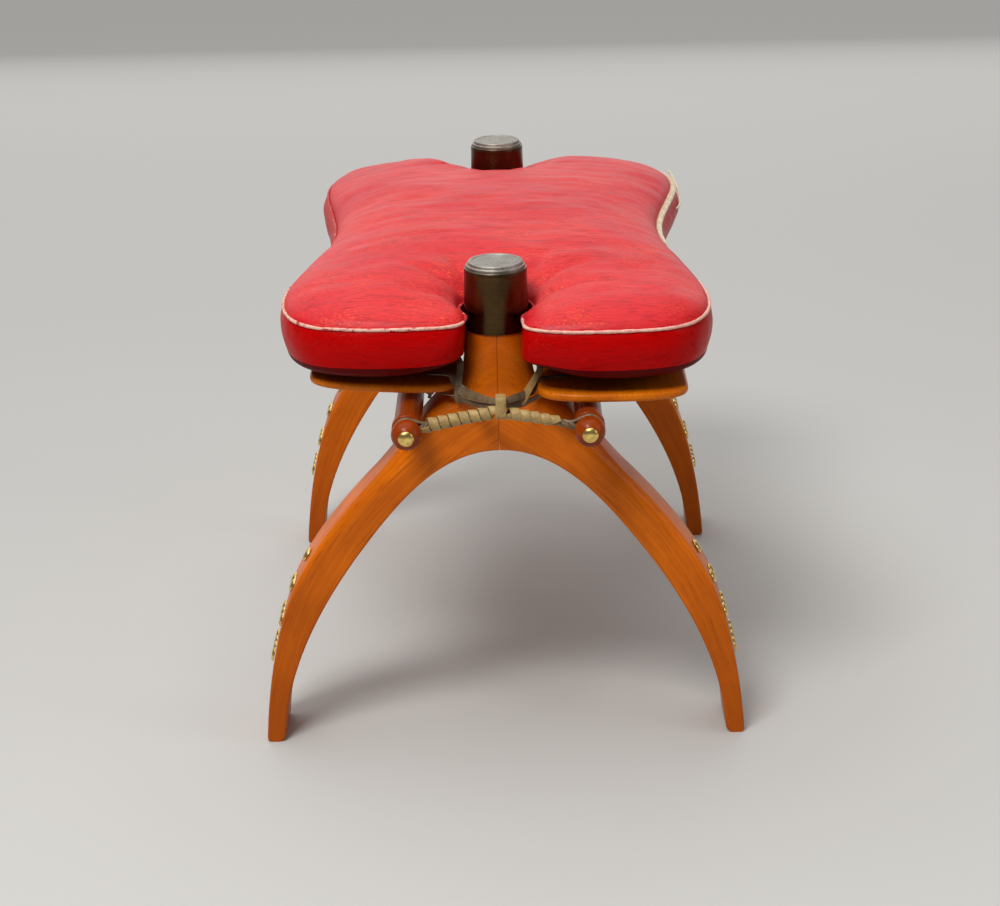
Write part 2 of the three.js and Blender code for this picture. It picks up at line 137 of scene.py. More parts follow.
def joined(parts):
    points, faces, start = [], [], 0
    for part_points, part_faces in parts:
        points.append(np.asarray(part_points, dtype=float))
        faces += [[start + i for i in face] for face in part_faces]
        start += len(part_points)
    return np.concatenate(points), faces


def grid_faces(rows, columns, wrap_rows=False, wrap_columns=False):
    faces = []
    for i in range(rows if wrap_rows else rows - 1):
        for j in range(columns if wrap_columns else columns - 1):
            a, b = i * columns, (i + 1) % rows * columns
            k = (j + 1) % columns
            faces.append([a + j, a + k, b + k, b + j])
    return faces


def lathe(profile, segments=64):
    """A profile of (radius, height) turned about Z."""
    angles = np.linspace(0, 2 * math.pi, segments, endpoint=False)
    points = [(r * math.cos(a), r * math.sin(a), z) for r, z in profile for a in angles]
    return np.array(points), grid_faces(len(profile), segments, wrap_columns=True)


def placed(part, matrix):
    points, faces = part
    turn, shift = np.array(matrix.to_3x3()), np.array(matrix.translation)
    return points @ turn.T + shift, faces


def filleted(corners, steps=5):
    """A polyline through (u, v, radius) corners, each rounded off by its radius."""
    line = []
    for i, (u, v, radius) in enumerate(corners):
        here = np.array((u, v), float)
        if radius == 0 or i in (0, len(corners) - 1):
            line.append(here)
            continue
        back = np.array(corners[i - 1][:2], float) - here
        ahead = np.array(corners[i + 1][:2], float) - here
        back_length, ahead_length = np.linalg.norm(back), np.linalg.norm(ahead)
        cosine = np.clip(back @ ahead / (back_length * ahead_length), -1, 1)
        cut = min(radius / math.tan(math.acos(cosine) / 2), back_length / 2, ahead_length / 2)
        start, end = here + back / back_length * cut, here + ahead / ahead_length * cut
        for t in np.linspace(0, 1, steps + 1):
            line.append((1 - t) ** 2 * start + 2 * t * (1 - t) * here + t * t * end)
    return line


def smooth_path(points, per_span=8, closed=False):
    """Centripetal Catmull-Rom curve through given points."""
    p = np.array(points, dtype=float)
    n = len(p)
    if closed:
        p = np.concatenate([p[-1:], p, p[:2]])
    else:
        p = np.concatenate([2 * p[:1] - p[1:2], p, 2 * p[-1:] - p[-2:-1]])
    path = []
    for i in range(n if closed else n - 1):
        p0, p1, p2, p3 = p[i:i + 4]
        gaps = [max(np.linalg.norm(b - a), 1e-6) ** 0.5 for a, b in ((p0, p1), (p1, p2), (p2, p3))]
        t0, t1, t2, t3 = np.cumsum([0] + gaps)
        for t in np.linspace(t1, t2, per_span, endpoint=False):
            a1 = (t1 - t) / (t1 - t0) * p0 + (t - t0) / (t1 - t0) * p1
            a2 = (t2 - t) / (t2 - t1) * p1 + (t - t1) / (t2 - t1) * p2
            a3 = (t3 - t) / (t3 - t2) * p2 + (t - t2) / (t3 - t2) * p3
            b1 = (t2 - t) / (t2 - t0) * a1 + (t - t0) / (t2 - t0) * a2
            b2 = (t3 - t) / (t3 - t1) * a2 + (t - t1) / (t3 - t1) * a3
            path.append((t2 - t) / (t2 - t1) * b1 + (t - t1) / (t2 - t1) * b2)
    if not closed:
        path.append(p[-2])
    return np.array(path)


def unit(v):
    return v / np.maximum(np.linalg.norm(v, axis=-1, keepdims=True), 1e-9)


def sweep(path, section, up, closed=False, scale=None):
    """A closed (side, up) section carried along a path; up is one vector or one for each point."""
    path = np.asarray(path, float)
    n, m = len(path), len(section)
    if closed:
        along = unit(np.roll(path, -1, axis=0) - np.roll(path, 1, axis=0))
    else:
        along = unit(np.gradient(path, axis=0))
    up = np.broadcast_to(np.asarray(up, float), path.shape)
    up = unit(up - (up * along).sum(axis=1, keepdims=True) * along)
    side = np.cross(along, up)
    size = np.ones((n, 2)) if scale is None else np.broadcast_to(np.asarray(scale, float), (n, 2))
    section = np.asarray(section, float)
    points = (
        path[:, None]
        + side[:, None] * (section[None, :, 0] * size[:, :1])[..., None]
        + up[:, None] * (section[None, :, 1] * size[:, 1:])[..., None]
    )
    faces = grid_faces(n, m, wrap_rows=closed, wrap_columns=True)
    if not closed:
        faces += [list(range(m)), [(n - 1) * m + i for i in range(m)]]
    return points.reshape(-1, 3), faces


def round_section(radius, sides=10):
    angles = np.linspace(0, 2 * math.pi, sides, endpoint=False)
    return np.stack([radius * np.cos(angles), radius * np.sin(angles)], axis=1)


def strip_section(width, thick, belly=0.25):
    """Flat thong: square-cut edges, slightly rounded, with a faint belly on top."""
    w, t = width / 2, thick / 2
    e = min(0.35, t * 0.6)
    crown = [(w / 2, t + belly * 0.8), (0, t + belly), (-w / 2, t + belly * 0.8)]
    top = [(w, t - e), (w - e, t)] + crown + [(e - w, t)]
    return np.array(top + [(-w, t - e), (-w, e - t), (e - w, -t), (0, -t), (w - e, -t), (w, e - t)])


def wobble(points, size, amount, seed=0.0):
    """Smooth noise at each point, in millimetres."""
    offset = Vector((seed, 2.3 * seed, -seed))
    return amount * np.array([noise.noise(Vector(p) / size + offset) for p in points])


# ---- material helpers ----
class Look:
    """A node material; each call adds one node and returns the socket it makes."""

    def __init__(self, name, roughness=0.5, metallic=0.0, **uniform):
        self.material = bpy.data.materials.new(name)
        self.material.use_nodes = True
        self.tree = self.material.node_tree
        self.shader = self.tree.nodes["Principled BSDF"]
        self.shader.inputs["Roughness"].default_value = roughness
        self.shader.inputs["Metallic"].default_value = metallic
        for key, value in uniform.items():
            self.shader.inputs[key.replace("_", " ")].default_value = value

    def link(self, value, socket):
        if isinstance(value, bpy.types.NodeSocket):
            self.tree.links.new(value, socket)
        else:
            socket.default_value = value

    def place(self, attribute=None):
        """Where the surface is: the object's own coordinates, or a vector stored on its mesh."""
        if attribute is None:
            return self.tree.nodes.new("ShaderNodeTexCoord").outputs["Object"]
        node = self.tree.nodes.new("ShaderNodeAttribute")
        node.attribute_name = attribute
        return node.outputs["Vector"]

    def value(self, attribute):
        node = self.tree.nodes.new("ShaderNodeAttribute")
        node.attribute_name = attribute
        return node.outputs["Fac"]

    def stretched(self, vector, scale):
        node = self.tree.nodes.new("ShaderNodeMapping")
        node.inputs["Scale"].default_value = scale
        self.link(vector, node.inputs["Vector"])
        return node.outputs["Vector"]

    def noise(self, vector, scale, detail=4.0, roughness=0.55, distortion=0.0):
        node = self.tree.nodes.new("ShaderNodeTexNoise")
        self.link(vector, node.inputs["Vector"])
        numbers = {"Scale": scale, "Detail": detail, "Roughness": roughness, "Distortion": distortion}
        for key, number in numbers.items():
            node.inputs[key].default_value = number
        return node.outputs["Fac"]

    def cells(self, vector, scale):
        node = self.tree.nodes.new("ShaderNodeTexVoronoi")
        self.link(vector, node.inputs["Vector"])
        node.inputs["Scale"].default_value = scale
        return node.outputs["Distance"]

    def ramp(self, factor, stops):
        """stops: (position, grey or colour)."""
        node = self.tree.nodes.new("ShaderNodeValToRGB")
        self.link(factor, node.inputs["Fac"])
        elements = node.color_ramp.elements
        while len(elements) < len(stops):
            elements.new(0.5)
        for element, (position, colour) in zip(elements, stops):
            element.position = position
            element.color = (*colour, 1) if isinstance(colour, tuple) else (colour, colour, colour, 1)
        return node.outputs["Color"]

    def mix(self, factor, first, second, blend="MIX"):
        node = self.tree.nodes.new("ShaderNodeMix")
        node.data_type = "RGBA"
        node.blend_type = blend
        self.link(factor, node.inputs["Factor"])
        self.link(rgba(first), node.inputs[6])      # the colour sockets A and B
        self.link(rgba(second), node.inputs[7])
        return node.outputs[2]

    def math(self, operation, first, second=0.5):
        node = self.tree.nodes.new("ShaderNodeMath")
        node.operation = operation
        self.link(first, node.inputs[0])
        self.link(second, node.inputs[1])
        return node.outputs[0]

    def bump(self, height, strength, distance, normal=None):
        node = self.tree.nodes.new("ShaderNodeBump")
        node.inputs["Strength"].default_value = strength
        node.inputs["Distance"].default_value = distance
        self.link(height, node.inputs["Height"])
        if normal is not None:
            self.link(normal, node.inputs["Normal"])
        return node.outputs["Normal"]

    def finish(self, colour=None, roughness=None, normal=None):
        for name, value in (("Base Color", colour), ("Roughness", roughness), ("Normal", normal)):
            if value is not None:
                self.link(rgba(value) if name == "Base Color" else value, self.shader.inputs[name])
        return self.material


def rgba(colour):
    return (*colour, 1) if isinstance(colour, tuple) and len(colour) == 3 else colour


# ---- materials ----
def wood_look(name, light, dark, streak=1.0, roughness=0.34):
    """Satin hardwood: fibres and pores along the stored grain, with painted shade where the piece stores a
    shade value.
    """
    look = Look(name, roughness, Specular_IOR_Level=0.14)
    grain = look.place("grain")
    fibre = look.noise(look.stretched(grain, (9, 260, 260)), 1.6, 5, 0.62, 0.15)
    band = look.noise(look.stretched(grain, (3, 42, 42)), 1.3, 3, 0.5, 0.4)
    cloud = look.noise(grain, 16, 3, 0.5)
    pores = look.noise(look.stretched(grain, (26, 900, 900)), 1.0, 2, 0.5)
    colour = look.mix(look.ramp(band, [(0.3, 0.0), (0.8, 0.7)]), light, dark)
    colour = look.mix(look.ramp(fibre, [(0.36, 0.35 * streak), (0.6, 0.0)]), colour, dark)
    colour = look.mix(look.ramp(cloud, [(0.35, 0.32), (0.65, 0.0)]), colour, tuple(0.55 * c for c in dark))
    colour = look.mix(look.ramp(pores, [(0.30, 0.55), (0.40, 0.0)]), colour, tuple(0.4 * c for c in dark))
    # Painted shade: darker where the stored shade value is set (on the legs, towards the feet and at the
    # neck).
    colour = look.mix(look.value("painted_shade"), colour, tuple(0.7 * c for c in dark))
    rough = look.ramp(fibre, [(0.3, roughness + 0.08), (0.7, roughness - 0.05)])
    normal = look.bump(pores, 0.25, 0.0002, look.bump(band, 0.12, 0.0012))
    return look.finish(colour, rough, normal)


def leather_look(name, base, faded, dark, worn, lines, gloss, shine, streaks, flecks):
    """Old glazed leather. lines: strength of the fine cross lines; streaks and flecks: how worn it is."""
    look = Look(name, gloss, Specular_IOR_Level=shine)
    spot = look.place()
    cross = look.noise(look.stretched(spot, (45, 420, 620)), 1.2, 4, 0.6, 0.3)
    streak = look.noise(look.stretched(spot, (9, 70, 70)), 1.6, 5, 0.6, 0.5)
    cloud = look.noise(spot, 9, 4, 0.55, 0.4)
    fleck = look.noise(look.stretched(spot, (170, 420, 420)), 1.5, 4, 0.65)
    patch = look.noise(spot, 15, 3, 0.5)
    pebble = look.cells(look.stretched(spot, (1, 1.6, 1.6)), 780)
    colour = look.mix(look.ramp(cloud, [(0.36, 0.0), (0.66, streaks)]), base, faded)
    colour = look.mix(look.ramp(streak, [(0.42, 0.0), (0.66, 0.75 * streaks)]), colour, faded)
    colour = look.mix(look.ramp(streak, [(0.28, 0.5), (0.44, 0.0)]), colour, dark)
    colour = look.mix(look.ramp(cross, [(0.34, lines), (0.5, 0.0)]), colour, dark)
    spots = look.ramp(fleck, [(0.56, 0.0), (0.66, flecks)])
    torn = look.math("MULTIPLY", spots, look.ramp(patch, [(0.44, 0.0), (0.6, 1.0)]))
    colour = look.mix(torn, colour, worn)
    satin = look.ramp(streak, [(0.3, gloss - 0.06), (0.7, gloss + 0.12)])
    rough = look.math("ADD", satin, look.math("MULTIPLY", torn, 0.2))
    normal = look.bump(pebble, 0.28, 0.0003, look.bump(cross, 0.35, 0.0005))
    return look.finish(colour, rough, normal)


def rawhide_look(name, light, dark, soiled):
    look = Look(name, 0.5, Specular_IOR_Level=0.4, Sheen_Weight=0.05)
    spot = look.place()
    cloud = look.noise(spot, 75, 5, 0.6, 0.4)
    fine = look.noise(spot, 520, 4, 0.6)
    scratch = look.noise(look.stretched(spot, (70, 500, 500)), 1.5, 3, 0.6)
    colour = look.mix(look.ramp(cloud, [(0.34, 0.0), (0.66, 1.0)]), light, dark)
    colour = look.mix(look.ramp(fine, [(0.32, soiled), (0.5, 0.0)]), colour, tuple(0.35 * c for c in dark))
    bright = tuple(min(1, 1.5 * c) for c in light)
    colour = look.mix(look.ramp(scratch, [(0.6, 0.0), (0.75, 0.4)]), colour, bright)
    normal = look.bump(fine, 0.35, 0.0004, look.bump(cloud, 0.3, 0.0012))
    return look.finish(colour, look.ramp(cloud, [(0.3, 0.42), (0.7, 0.6)]), normal)


def piping_look():
    """Painted leather piping, worn through to pale pink hide where it is most rubbed."""
    look = Look("piping_leather", 0.6, Specular_IOR_Level=0.35)
    spot = look.place()
    wear = look.value("wear")
    chips = look.noise(look.stretched(spot, (150, 150, 260)), 1.2, 4, 0.65)
    fine = look.noise(spot, 900, 3, 0.6)
    pale = look.mix(look.ramp(chips, [(0.35, 0.0), (0.65, 1.0)]), (0.66, 0.27, 0.21), (0.80, 0.50, 0.40))
    keep = look.ramp(look.math("ADD", chips, look.math("MULTIPLY", wear, 0.34)), [(0.60, 0.0), (0.68, 1.0)])
    colour = look.mix(keep, (0.46, 0.012, 0.02), pale)
    colour = look.mix(look.ramp(fine, [(0.3, 0.35), (0.45, 0.0)]), colour, (0.25, 0.05, 0.04))
    return look.finish(colour, look.ramp(chips, [(0.3, 0.45), (0.7, 0.75)]), look.bump(chips, 0.5, 0.0006))


def cap_look():
    """Dark patinated brass; the top disc is greyer and duller, partly real wear from touching and partly a
    painted reflection of the light above.
    """
    look = Look("cap_brass", 0.35, metallic=1.0)
    spot = look.place()
    stain = look.noise(look.stretched(spot, (1, 1, 0.35)), 55, 5, 0.6, 0.6)
    fine = look.noise(spot, 420, 4, 0.6)
    rings = look.noise(look.stretched(spot, (0.2, 0.2, 14)), 60, 2, 0.5)
    top = look.value("worn_and_lit_top")
    body = look.mix(look.ramp(stain, [(0.3, 0.0), (0.7, 1.0)]), (0.055, 0.030, 0.012), (0.115, 0.066, 0.024))
    body = look.mix(look.ramp(rings, [(0.4, 0.0), (0.7, 0.35)]), body, (0.05, 0.03, 0.018))
    # Top disc colour: partly worn metal, partly a painted reflection of the overhead light.
    worn_and_lit_disc = look.mix(look.ramp(stain, [(0.38, 0.0), (0.6, 1.0)]), (0.30, 0.27, 0.23), (0.43, 0.40, 0.35))
    worn_and_lit_disc = look.mix(look.ramp(fine, [(0.35, 0.5), (0.5, 0.0)]), worn_and_lit_disc, (0.16, 0.13, 0.10))
    colour = look.mix(top, body, worn_and_lit_disc)
    rough = look.math("ADD", look.ramp(stain, [(0.3, 0.22), (0.7, 0.38)]), look.math("MULTIPLY", top, 0.22))
    return look.finish(colour, rough, look.bump(fine, 0.08, 0.0003))


def brass_look():
    look = Look("bright_brass", 0.2, metallic=1.0)
    spot = look.place()
    tarnish = look.noise(spot, 260, 4, 0.6, 0.3)
    dulled = look.ramp(tarnish, [(0.42, 0.0), (0.62, 0.65)])
    colour = look.mix(dulled, (0.86, 0.61, 0.19), (0.42, 0.25, 0.07))
    rough = look.ramp(tarnish, [(0.35, 0.16), (0.7, 0.42)])
    return look.finish(colour, rough, look.bump(tarnish, 0.06, 0.0004))


def cord_look():
    look = Look("lace_rawhide", 0.6, Sheen_Weight=0.1)
    spot = look.place()
    fine = look.noise(spot, 620, 4, 0.6)
    cloud = look.noise(spot, 90, 3, 0.5)
    colour = look.mix(look.ramp(cloud, [(0.35, 0.0), (0.65, 1.0)]), (0.66, 0.53, 0.33), (0.78, 0.70, 0.54))
    colour = look.mix(look.ramp(fine, [(0.34, 0.6), (0.5, 0.0)]), colour, (0.30, 0.20, 0.11))
    return look.finish(colour, None, look.bump(fine, 0.4, 0.0003))


LEG_WOOD = wood_look("leg_wood", (0.82, 0.185, 0.002), (0.46, 0.074, 0.001), 1.2)
# The rods use a much darker copy of the wood: painted shade for the shadow under the seat boards.
SHADED_ROD_WOOD = wood_look("rod_wood", (0.33, 0.048, 0.002), (0.17, 0.018, 0.001), 0.7, 0.25)
BOARD_WOOD = wood_look("board_wood", (0.80, 0.21, 0.003), (0.48, 0.090, 0.0015), 1.3)
DOWEL_WOOD = wood_look("dowel_wood", (0.62, 0.42, 0.24), (0.48, 0.29, 0.15))
TOP_LEATHER = leather_look(
    "cushion_top_leather", (0.56, 0.002, 0.012), (0.68, 0.026, 0.028), (0.30, 0.001, 0.006),
    (0.88, 0.12, 0.025), lines=0.7, gloss=0.42, shine=0.24, streaks=0.9, flecks=1.0)
SIDE_LEATHER = leather_look(
    "cushion_side_leather", (0.47, 0.0, 0.0), (0.52, 0.002, 0.003), (0.25, 0.0, 0.0), (0.68, 0.12, 0.09),
    lines=0.5, gloss=0.3, shine=0.06, streaks=0.2, flecks=0.1)
# The underside is a much darker copy of the boxing leather: painted shade on the side that faces the floor.
SHADED_UNDER_LEATHER = leather_look(
    "cushion_under_leather_painted_shade", (0.10, 0.0, 0.0), (0.13, 0.001, 0.002), (0.06, 0.0, 0.0), (0.30, 0.05, 0.04),
    lines=0.4, gloss=0.45, shine=0.06, streaks=0.3, flecks=0.1)
PIPING_LEATHER = piping_look()
CAP_BRASS = cap_look()
STUD_BRASS = brass_look()
LACE = cord_look()
WHIPPING_HIDE = rawhide_look("whipping_rawhide", (0.45, 0.30, 0.105), (0.31, 0.19, 0.06), 0.45)
STRAP_HIDE = rawhide_look("strap_rawhide", (0.21, 0.135, 0.065), (0.10, 0.058, 0.026), 0.6)
TAN_HIDE = rawhide_look("strap_rawhide_tan", (0.36, 0.21, 0.07), (0.22, 0.12, 0.038), 0.3)


# ---- the loose loop of the lace ----
LACE_RADIUS = 1.25
LACE_LOOP = [
    (196.2, 262, 436.3), (197.3, 256, 436.0), (198.9, 248, 434.3), (200.4, 239, 431.8),
    (201.8, 229, 429.0), (202.9, 218, 426.3), (203.6, 206, 423.8), (203.9, 195, 421.8),
    (203.7, 184, 420.2), (202.8, 174, 419.0), (201.0, 166, 418.3), (198.6, 159.5, 418.2),
    (195.6, 154.5, 418.7), (192.8, 150, 419.9), (190.6, 145.5, 421.3), (189.0, 141, 422.4),
]


def add_lace_loop():
    path = smooth_path(LACE_LOOP, 10)
    tube = sweep(path, round_section(LACE_RADIUS, 10), (1, 0, 0.3))
    piece = add_piece("cushion_lace_loop_cord", [tube], LACE, "cushion",
                      ["cushion_lace_loop"])


add_lace_loop()


# ---- wishbone legs ----
def bezier(p0, p1, p2, p3, steps):
    t = np.linspace(0, 1, steps, endpoint=False)[:, None]
    p0, p1, p2, p3 = (np.array(p, float) for p in (p0, p1, p2, p3))
    return (1 - t) ** 3 * p0 + 3 * t * (1 - t) ** 2 * p1 + 3 * t * t * (1 - t) * p2 + t ** 3 * p3


SEAM = 0.15                     # half the gap between the two legs of a wishbone
EDGE_RADIUS = 2.2               # rounding of the inner edge, and of the outer edge low on a leg
SHOULDER_ROUNDING = 15.3        # how much rounder the outer edge is at the shoulder
NECK_BLEND = 5.0                # size of the blend between the neck and the shoulders
NECK_SIDE = [
    (26.9, NECK_TOP), (28.2, 425), (29.9, 411), (30.4, 402), (31.2, 390), (32.5, 378), (34.6, 367.5),
    (37.8, 359.5), (43, 354), (50, 350), (58, 345),
]
NECK_RADII = [(330, 320), (338, 96), (344, 70), (348, 57), (352, 46.5), (356, 40), (360.5, 36.6), (368, 34),
              (379, 32.4), (390, 31.2), (402, 30.4), (411, 29.9), (425, 28.2), (470, 26.8)]


def inner_edge():
    parts = [
        bezier((SEAM, 300), (55, 300), (95.5, 252), (131.5, 204), 60),
        bezier((131.5, 204), (176.5, 144), (213, 76), (217, 4), 60),
        bezier((217, 4), (217.1, 1.6), (218.4, 0), (220.5, 0), 4),
        np.array([(220.5, 0)]),
    ]
    return np.concatenate(parts)


def outer_edge():
    top = np.array([(x, NECK_TOP) for x in (SEAM, 0.5, 1.0, 2.2, 4.5, 8, 12, 16, 20, 24)])
    side = smooth_path([(x, 0, z) for x, z in NECK_SIDE], 5)[:-1][:, [0, 2]]
    parts = [
        top, side,
        bezier((58, 345), (76, 328), (107, 283.5), (124, 267), 26),
        bezier((124, 267), (154.5, 234), (188, 194), (205, 153), 30),
        bezier((205, 153), (222, 111), (231.5, 54), (FOOT_OUT, 4), 30),
        bezier((FOOT_OUT, 4), (FOOT_OUT, 1.6), (233.8, 0), (231.6, 0), 4),
        np.array([(231.6, 0)]),
    ]
    return np.concatenate(parts), len(top) + len(side)


def matched_inner(outer, shoulder):
    """The inner-edge point across from each outer one: nearest below the shoulder, fanned out above it."""
    inner = inner_edge()
    run = np.concatenate([[0], np.cumsum(np.linalg.norm(np.diff(inner, axis=0), axis=1))])
    nearest = np.array([run[np.argmin(np.linalg.norm(inner - p, axis=1))] for p in outer])
    lengths = np.concatenate([[0], np.cumsum(np.linalg.norm(np.diff(outer, axis=0), axis=1))])
    at = nearest.copy()
    at[:shoulder] = nearest[shoulder] * (lengths[:shoulder] / lengths[shoulder]) ** 0.8
    at[-1], at[-5:] = run[-1], np.linspace(run[-5], run[-1], 5)
    at = np.maximum.accumulate(at)
    for _ in range(30):
        at[1:-6] = (at[:-7] + at[1:-6] * 2 + at[2:-5]) / 4
    return np.stack([np.interp(at, run, inner[:, 0]), np.interp(at, run, inner[:, 1])], axis=1)


def smooth_min(a, b, blend):
    spread = np.clip(0.5 + 0.5 * (b - a) / blend, 0, 1)
    return b * (1 - spread) + a * spread - blend * spread * (1 - spread)


def leg_half(side):
    """The points and faces of one leg, half a wishbone: its front, its back and its rim."""
    outer, shoulder = outer_edge()
    inner = matched_inner(outer, shoulder)
    width = np.linalg.norm(outer - inner, axis=1)
    z = outer[:, 1]
    edge_out = EDGE_RADIUS + SHOULDER_ROUNDING * np.clip((z - 150) / 165, 0, 1) ** 0.85
    edge_in = np.full(len(z), EDGE_RADIUS)
    edge_out = np.minimum(edge_out, width * 0.55)
    spread = np.where(np.arange(len(z)) < shoulder, np.minimum(24, width * 0.4), edge_out)
    angle_out, angle_in = np.linspace(0, math.pi / 2, 10), np.linspace(0, math.pi / 2, 5)
    columns = []
    for w, s, r in zip(width, spread, edge_in):
        from_inner = r * (1 - np.cos(angle_in))
        from_outer = w - s * (1 - np.cos(angle_out))
        between = np.linspace(r, w - s, 12)[1:-1]
        columns.append(np.concatenate([from_inner, between, from_outer[::-1]]))
    across = np.array(columns)
    share = (across / width[:, None])[..., None]
    flat = inner[:, None] * (1 - share) + outer[:, None] * share
    x, z = flat[..., 0], flat[..., 1]

    def rounding(distance, radius):
        inside = np.clip(radius - distance, 0, radius)
        return radius - np.sqrt(np.maximum(radius ** 2 - inside ** 2, 0))

    depth = HALF_DEPTH - rounding(width[:, None] - across, edge_out[:, None])
    depth -= rounding(across, edge_in[:, None])
    heights, radii = zip(*NECK_RADII)
    neck = np.sqrt(np.maximum(np.interp(z, heights, radii) ** 2 - x ** 2, 0))
    depth = np.maximum(smooth_min(depth, neck, NECK_BLEND), 0)
    depth -= 0.35 * np.exp(-(x - SEAM) / 0.4)
    depth = np.maximum(depth, 0.02)
    rows, count = x.shape
    front = np.stack([side * x, -depth, z], axis=-1).reshape(-1, 3)
    back = front * (1, -1, 1)
    faces = grid_faces(rows, count)
    total = rows * count
    faces += [[i + total for i in face] for face in grid_faces(rows, count)]
    rim = [i * count for i in range(rows)] + [(rows - 1) * count + j for j in range(1, count)]
    rim += [i * count + count - 1 for i in range(rows - 2, -1, -1)] + list(range(count - 2, 0, -1))
    for a, b in zip(rim, rim[1:] + rim[:1]):
        faces.append([a, b, b + total, a + total])
    return np.concatenate([front, back]), faces


def leg_grain(points, side, seed):
    """Straight-sawn grain down the leg, bowed a little: along, across and through, in metres."""
    x, y, z = (points * (side, 1, 1)).T
    along = 0.60 * x - 0.80 * z
    across = 0.80 * x + 0.60 * z + 0.0011 * (along + 90) ** 2
    return np.stack([along + 1000 * seed, across, y], axis=1) * MM


def add_legs():
    for i, (end, direction) in enumerate(ENDS.items()):
        for j, (side_name, side) in enumerate(SIDES.items()):
            points, faces = leg_half(side)
            grain = leg_grain(points, side, 1 + i * 2 + j)
            # Painted shade: the legs darken towards the feet, where the light falls off, and at the top of
            # the neck, shaded between the cushion's lobes.
            painted_shade = 0.55 * np.clip((190 - points[:, 2]) / 170, 0, 1) ** 0.8
            painted_shade += 0.35 * np.clip((points[:, 2] - 335) / 60, 0, 1)
            points = points + (0, direction * WISHBONE_Y, 0)
            node = f"{end}_{side_name}_leg"
            add_piece(f"{node}_shaped", [(points, faces)], LEG_WOOD, "frame", [node],
                      attributes={"grain": grain, "painted_shade": painted_shade})


# ---- horn caps ----
def add_caps():
    rim = CAP_TOP
    profile = filleted([
        (0, rim - 0.3, 0), (21.0, rim - 0.3, 0.6), (21.5, rim - 0.8, 0.3), (22.1, rim - 0.1, 0.3),
        (25.6, rim, 1.2), (26.0, rim - 3.0, 0.5), (27.5, rim - 3.2, 0.8), (27.8, rim - 6.0, 0.5),
        (29.1, rim - 6.2, 0.8), (29.4, rim - 9.8, 1.6), (29.2, rim - 11, 0.5), (29.9, 440, 8),
        (30.5, CAP_RIM + 2.5, 1), (30.8, CAP_RIM, 0.4), (29.2, CAP_RIM, 0.3), (28.9, CAP_RIM + 6, 0),
    ], 4)
    for end, direction in ENDS.items():
        points, faces = lathe(profile, 96)
        # Top disc mask: real wear plus a painted reflection of the light above.
        worn = np.clip((points[:, 2] - (rim - 7.0)) / 3.5, 0, 1)
        points = points + (0, direction * WISHBONE_Y, 0)
        node = f"{end}_horn_cap"
        add_piece(f"{node}_turned", [(points, faces)], CAP_BRASS, "frame", [node],
                  sharp=50, attributes={"worn_and_lit_top": worn})


# ---- brass studs ----
def stud_profile(radius, height):
    """A low dome with a rolled rim and a shallow dimple at its crown."""
    line = [(radius - 0.9, 0), (radius - 0.15, 0.05), (radius, 0.45), (radius - 0.25, 0.95)]
    for t in np.linspace(0.12, 1, 9):
        r = (radius - 0.5) * math.cos(t * math.pi / 2)
        dimple = 0.25 * math.exp(-(r / 1.1) ** 2)
        line.append((r, 0.95 + (height - 0.95) * math.sin(t * math.pi / 2) - dimple))
    return line


STUD_ROWS = [(188.9, 185.5, 31.5), (203.5, 156.8, 26), (215.1, 123.8, 19.5), (223.9, 90.3, 14)]


def add_studs():
    dome = lathe(stud_profile(STUD_RADIUS - 0.1, STUD_HEIGHT), 24)
    for end, direction in ENDS.items():
        for side_name, side in SIDES.items():
            for row, (x, z, angle) in enumerate(STUD_ROWS):
                tilt = math.radians(angle)
                turn = Matrix.Rotation(side * (math.pi / 2 - tilt), 4, "Y")
                outward = Vector((side * math.cos(tilt), 0, math.sin(tilt)))
                parts = []
                for i in range(row + 1):
                    y = direction * WISHBONE_Y + (i - row / 2) * STUD_PITCH
                    spin = Matrix.Rotation(1.7 * i + row, 4, "Z")
                    place = Vector((side * x, y, z)) + outward * 0.1
                    parts.append(placed(dome, Matrix.Translation(place) @ turn @ spin))
                node = f"{end}_{side_name}_studs_row_{row + 1}"
                add_piece(f"{node}_domes", parts, STUD_BRASS, "frame", [node])


# ---- side rods ----
def rod_half_profile():
    """Radius and distance from the middle, out to the flat that the end stud sits on."""
    ball_middle = ROD_HALF - 11.6
    line = filleted([
        (ROD_RADIUS, 0, 0), (ROD_RADIUS, LASH_Y - 18, 0), (ROD_RADIUS, LASH_Y - 13, 0.6),
        (KNOB_RADIUS, LASH_Y - 11.8, 1.4), (KNOB_RADIUS, LASH_Y - 3.4, 1.6),
        (GROOVE_RADIUS, LASH_Y - 2.2, 0.5), (GROOVE_RADIUS, LASH_Y + 1.4, 0.4),
    ])
    start = math.asin((GROOVE_RADIUS + 0.3) / KNOB_RADIUS)
    for angle in np.linspace(math.pi - start, math.asin(6.9 / KNOB_RADIUS), 22):
        line.append((KNOB_RADIUS * math.sin(angle), ball_middle - KNOB_RADIUS * math.cos(math.pi - angle)))
    line.append((0, ROD_HALF - 0.4))
    return [tuple(p) for p in line]


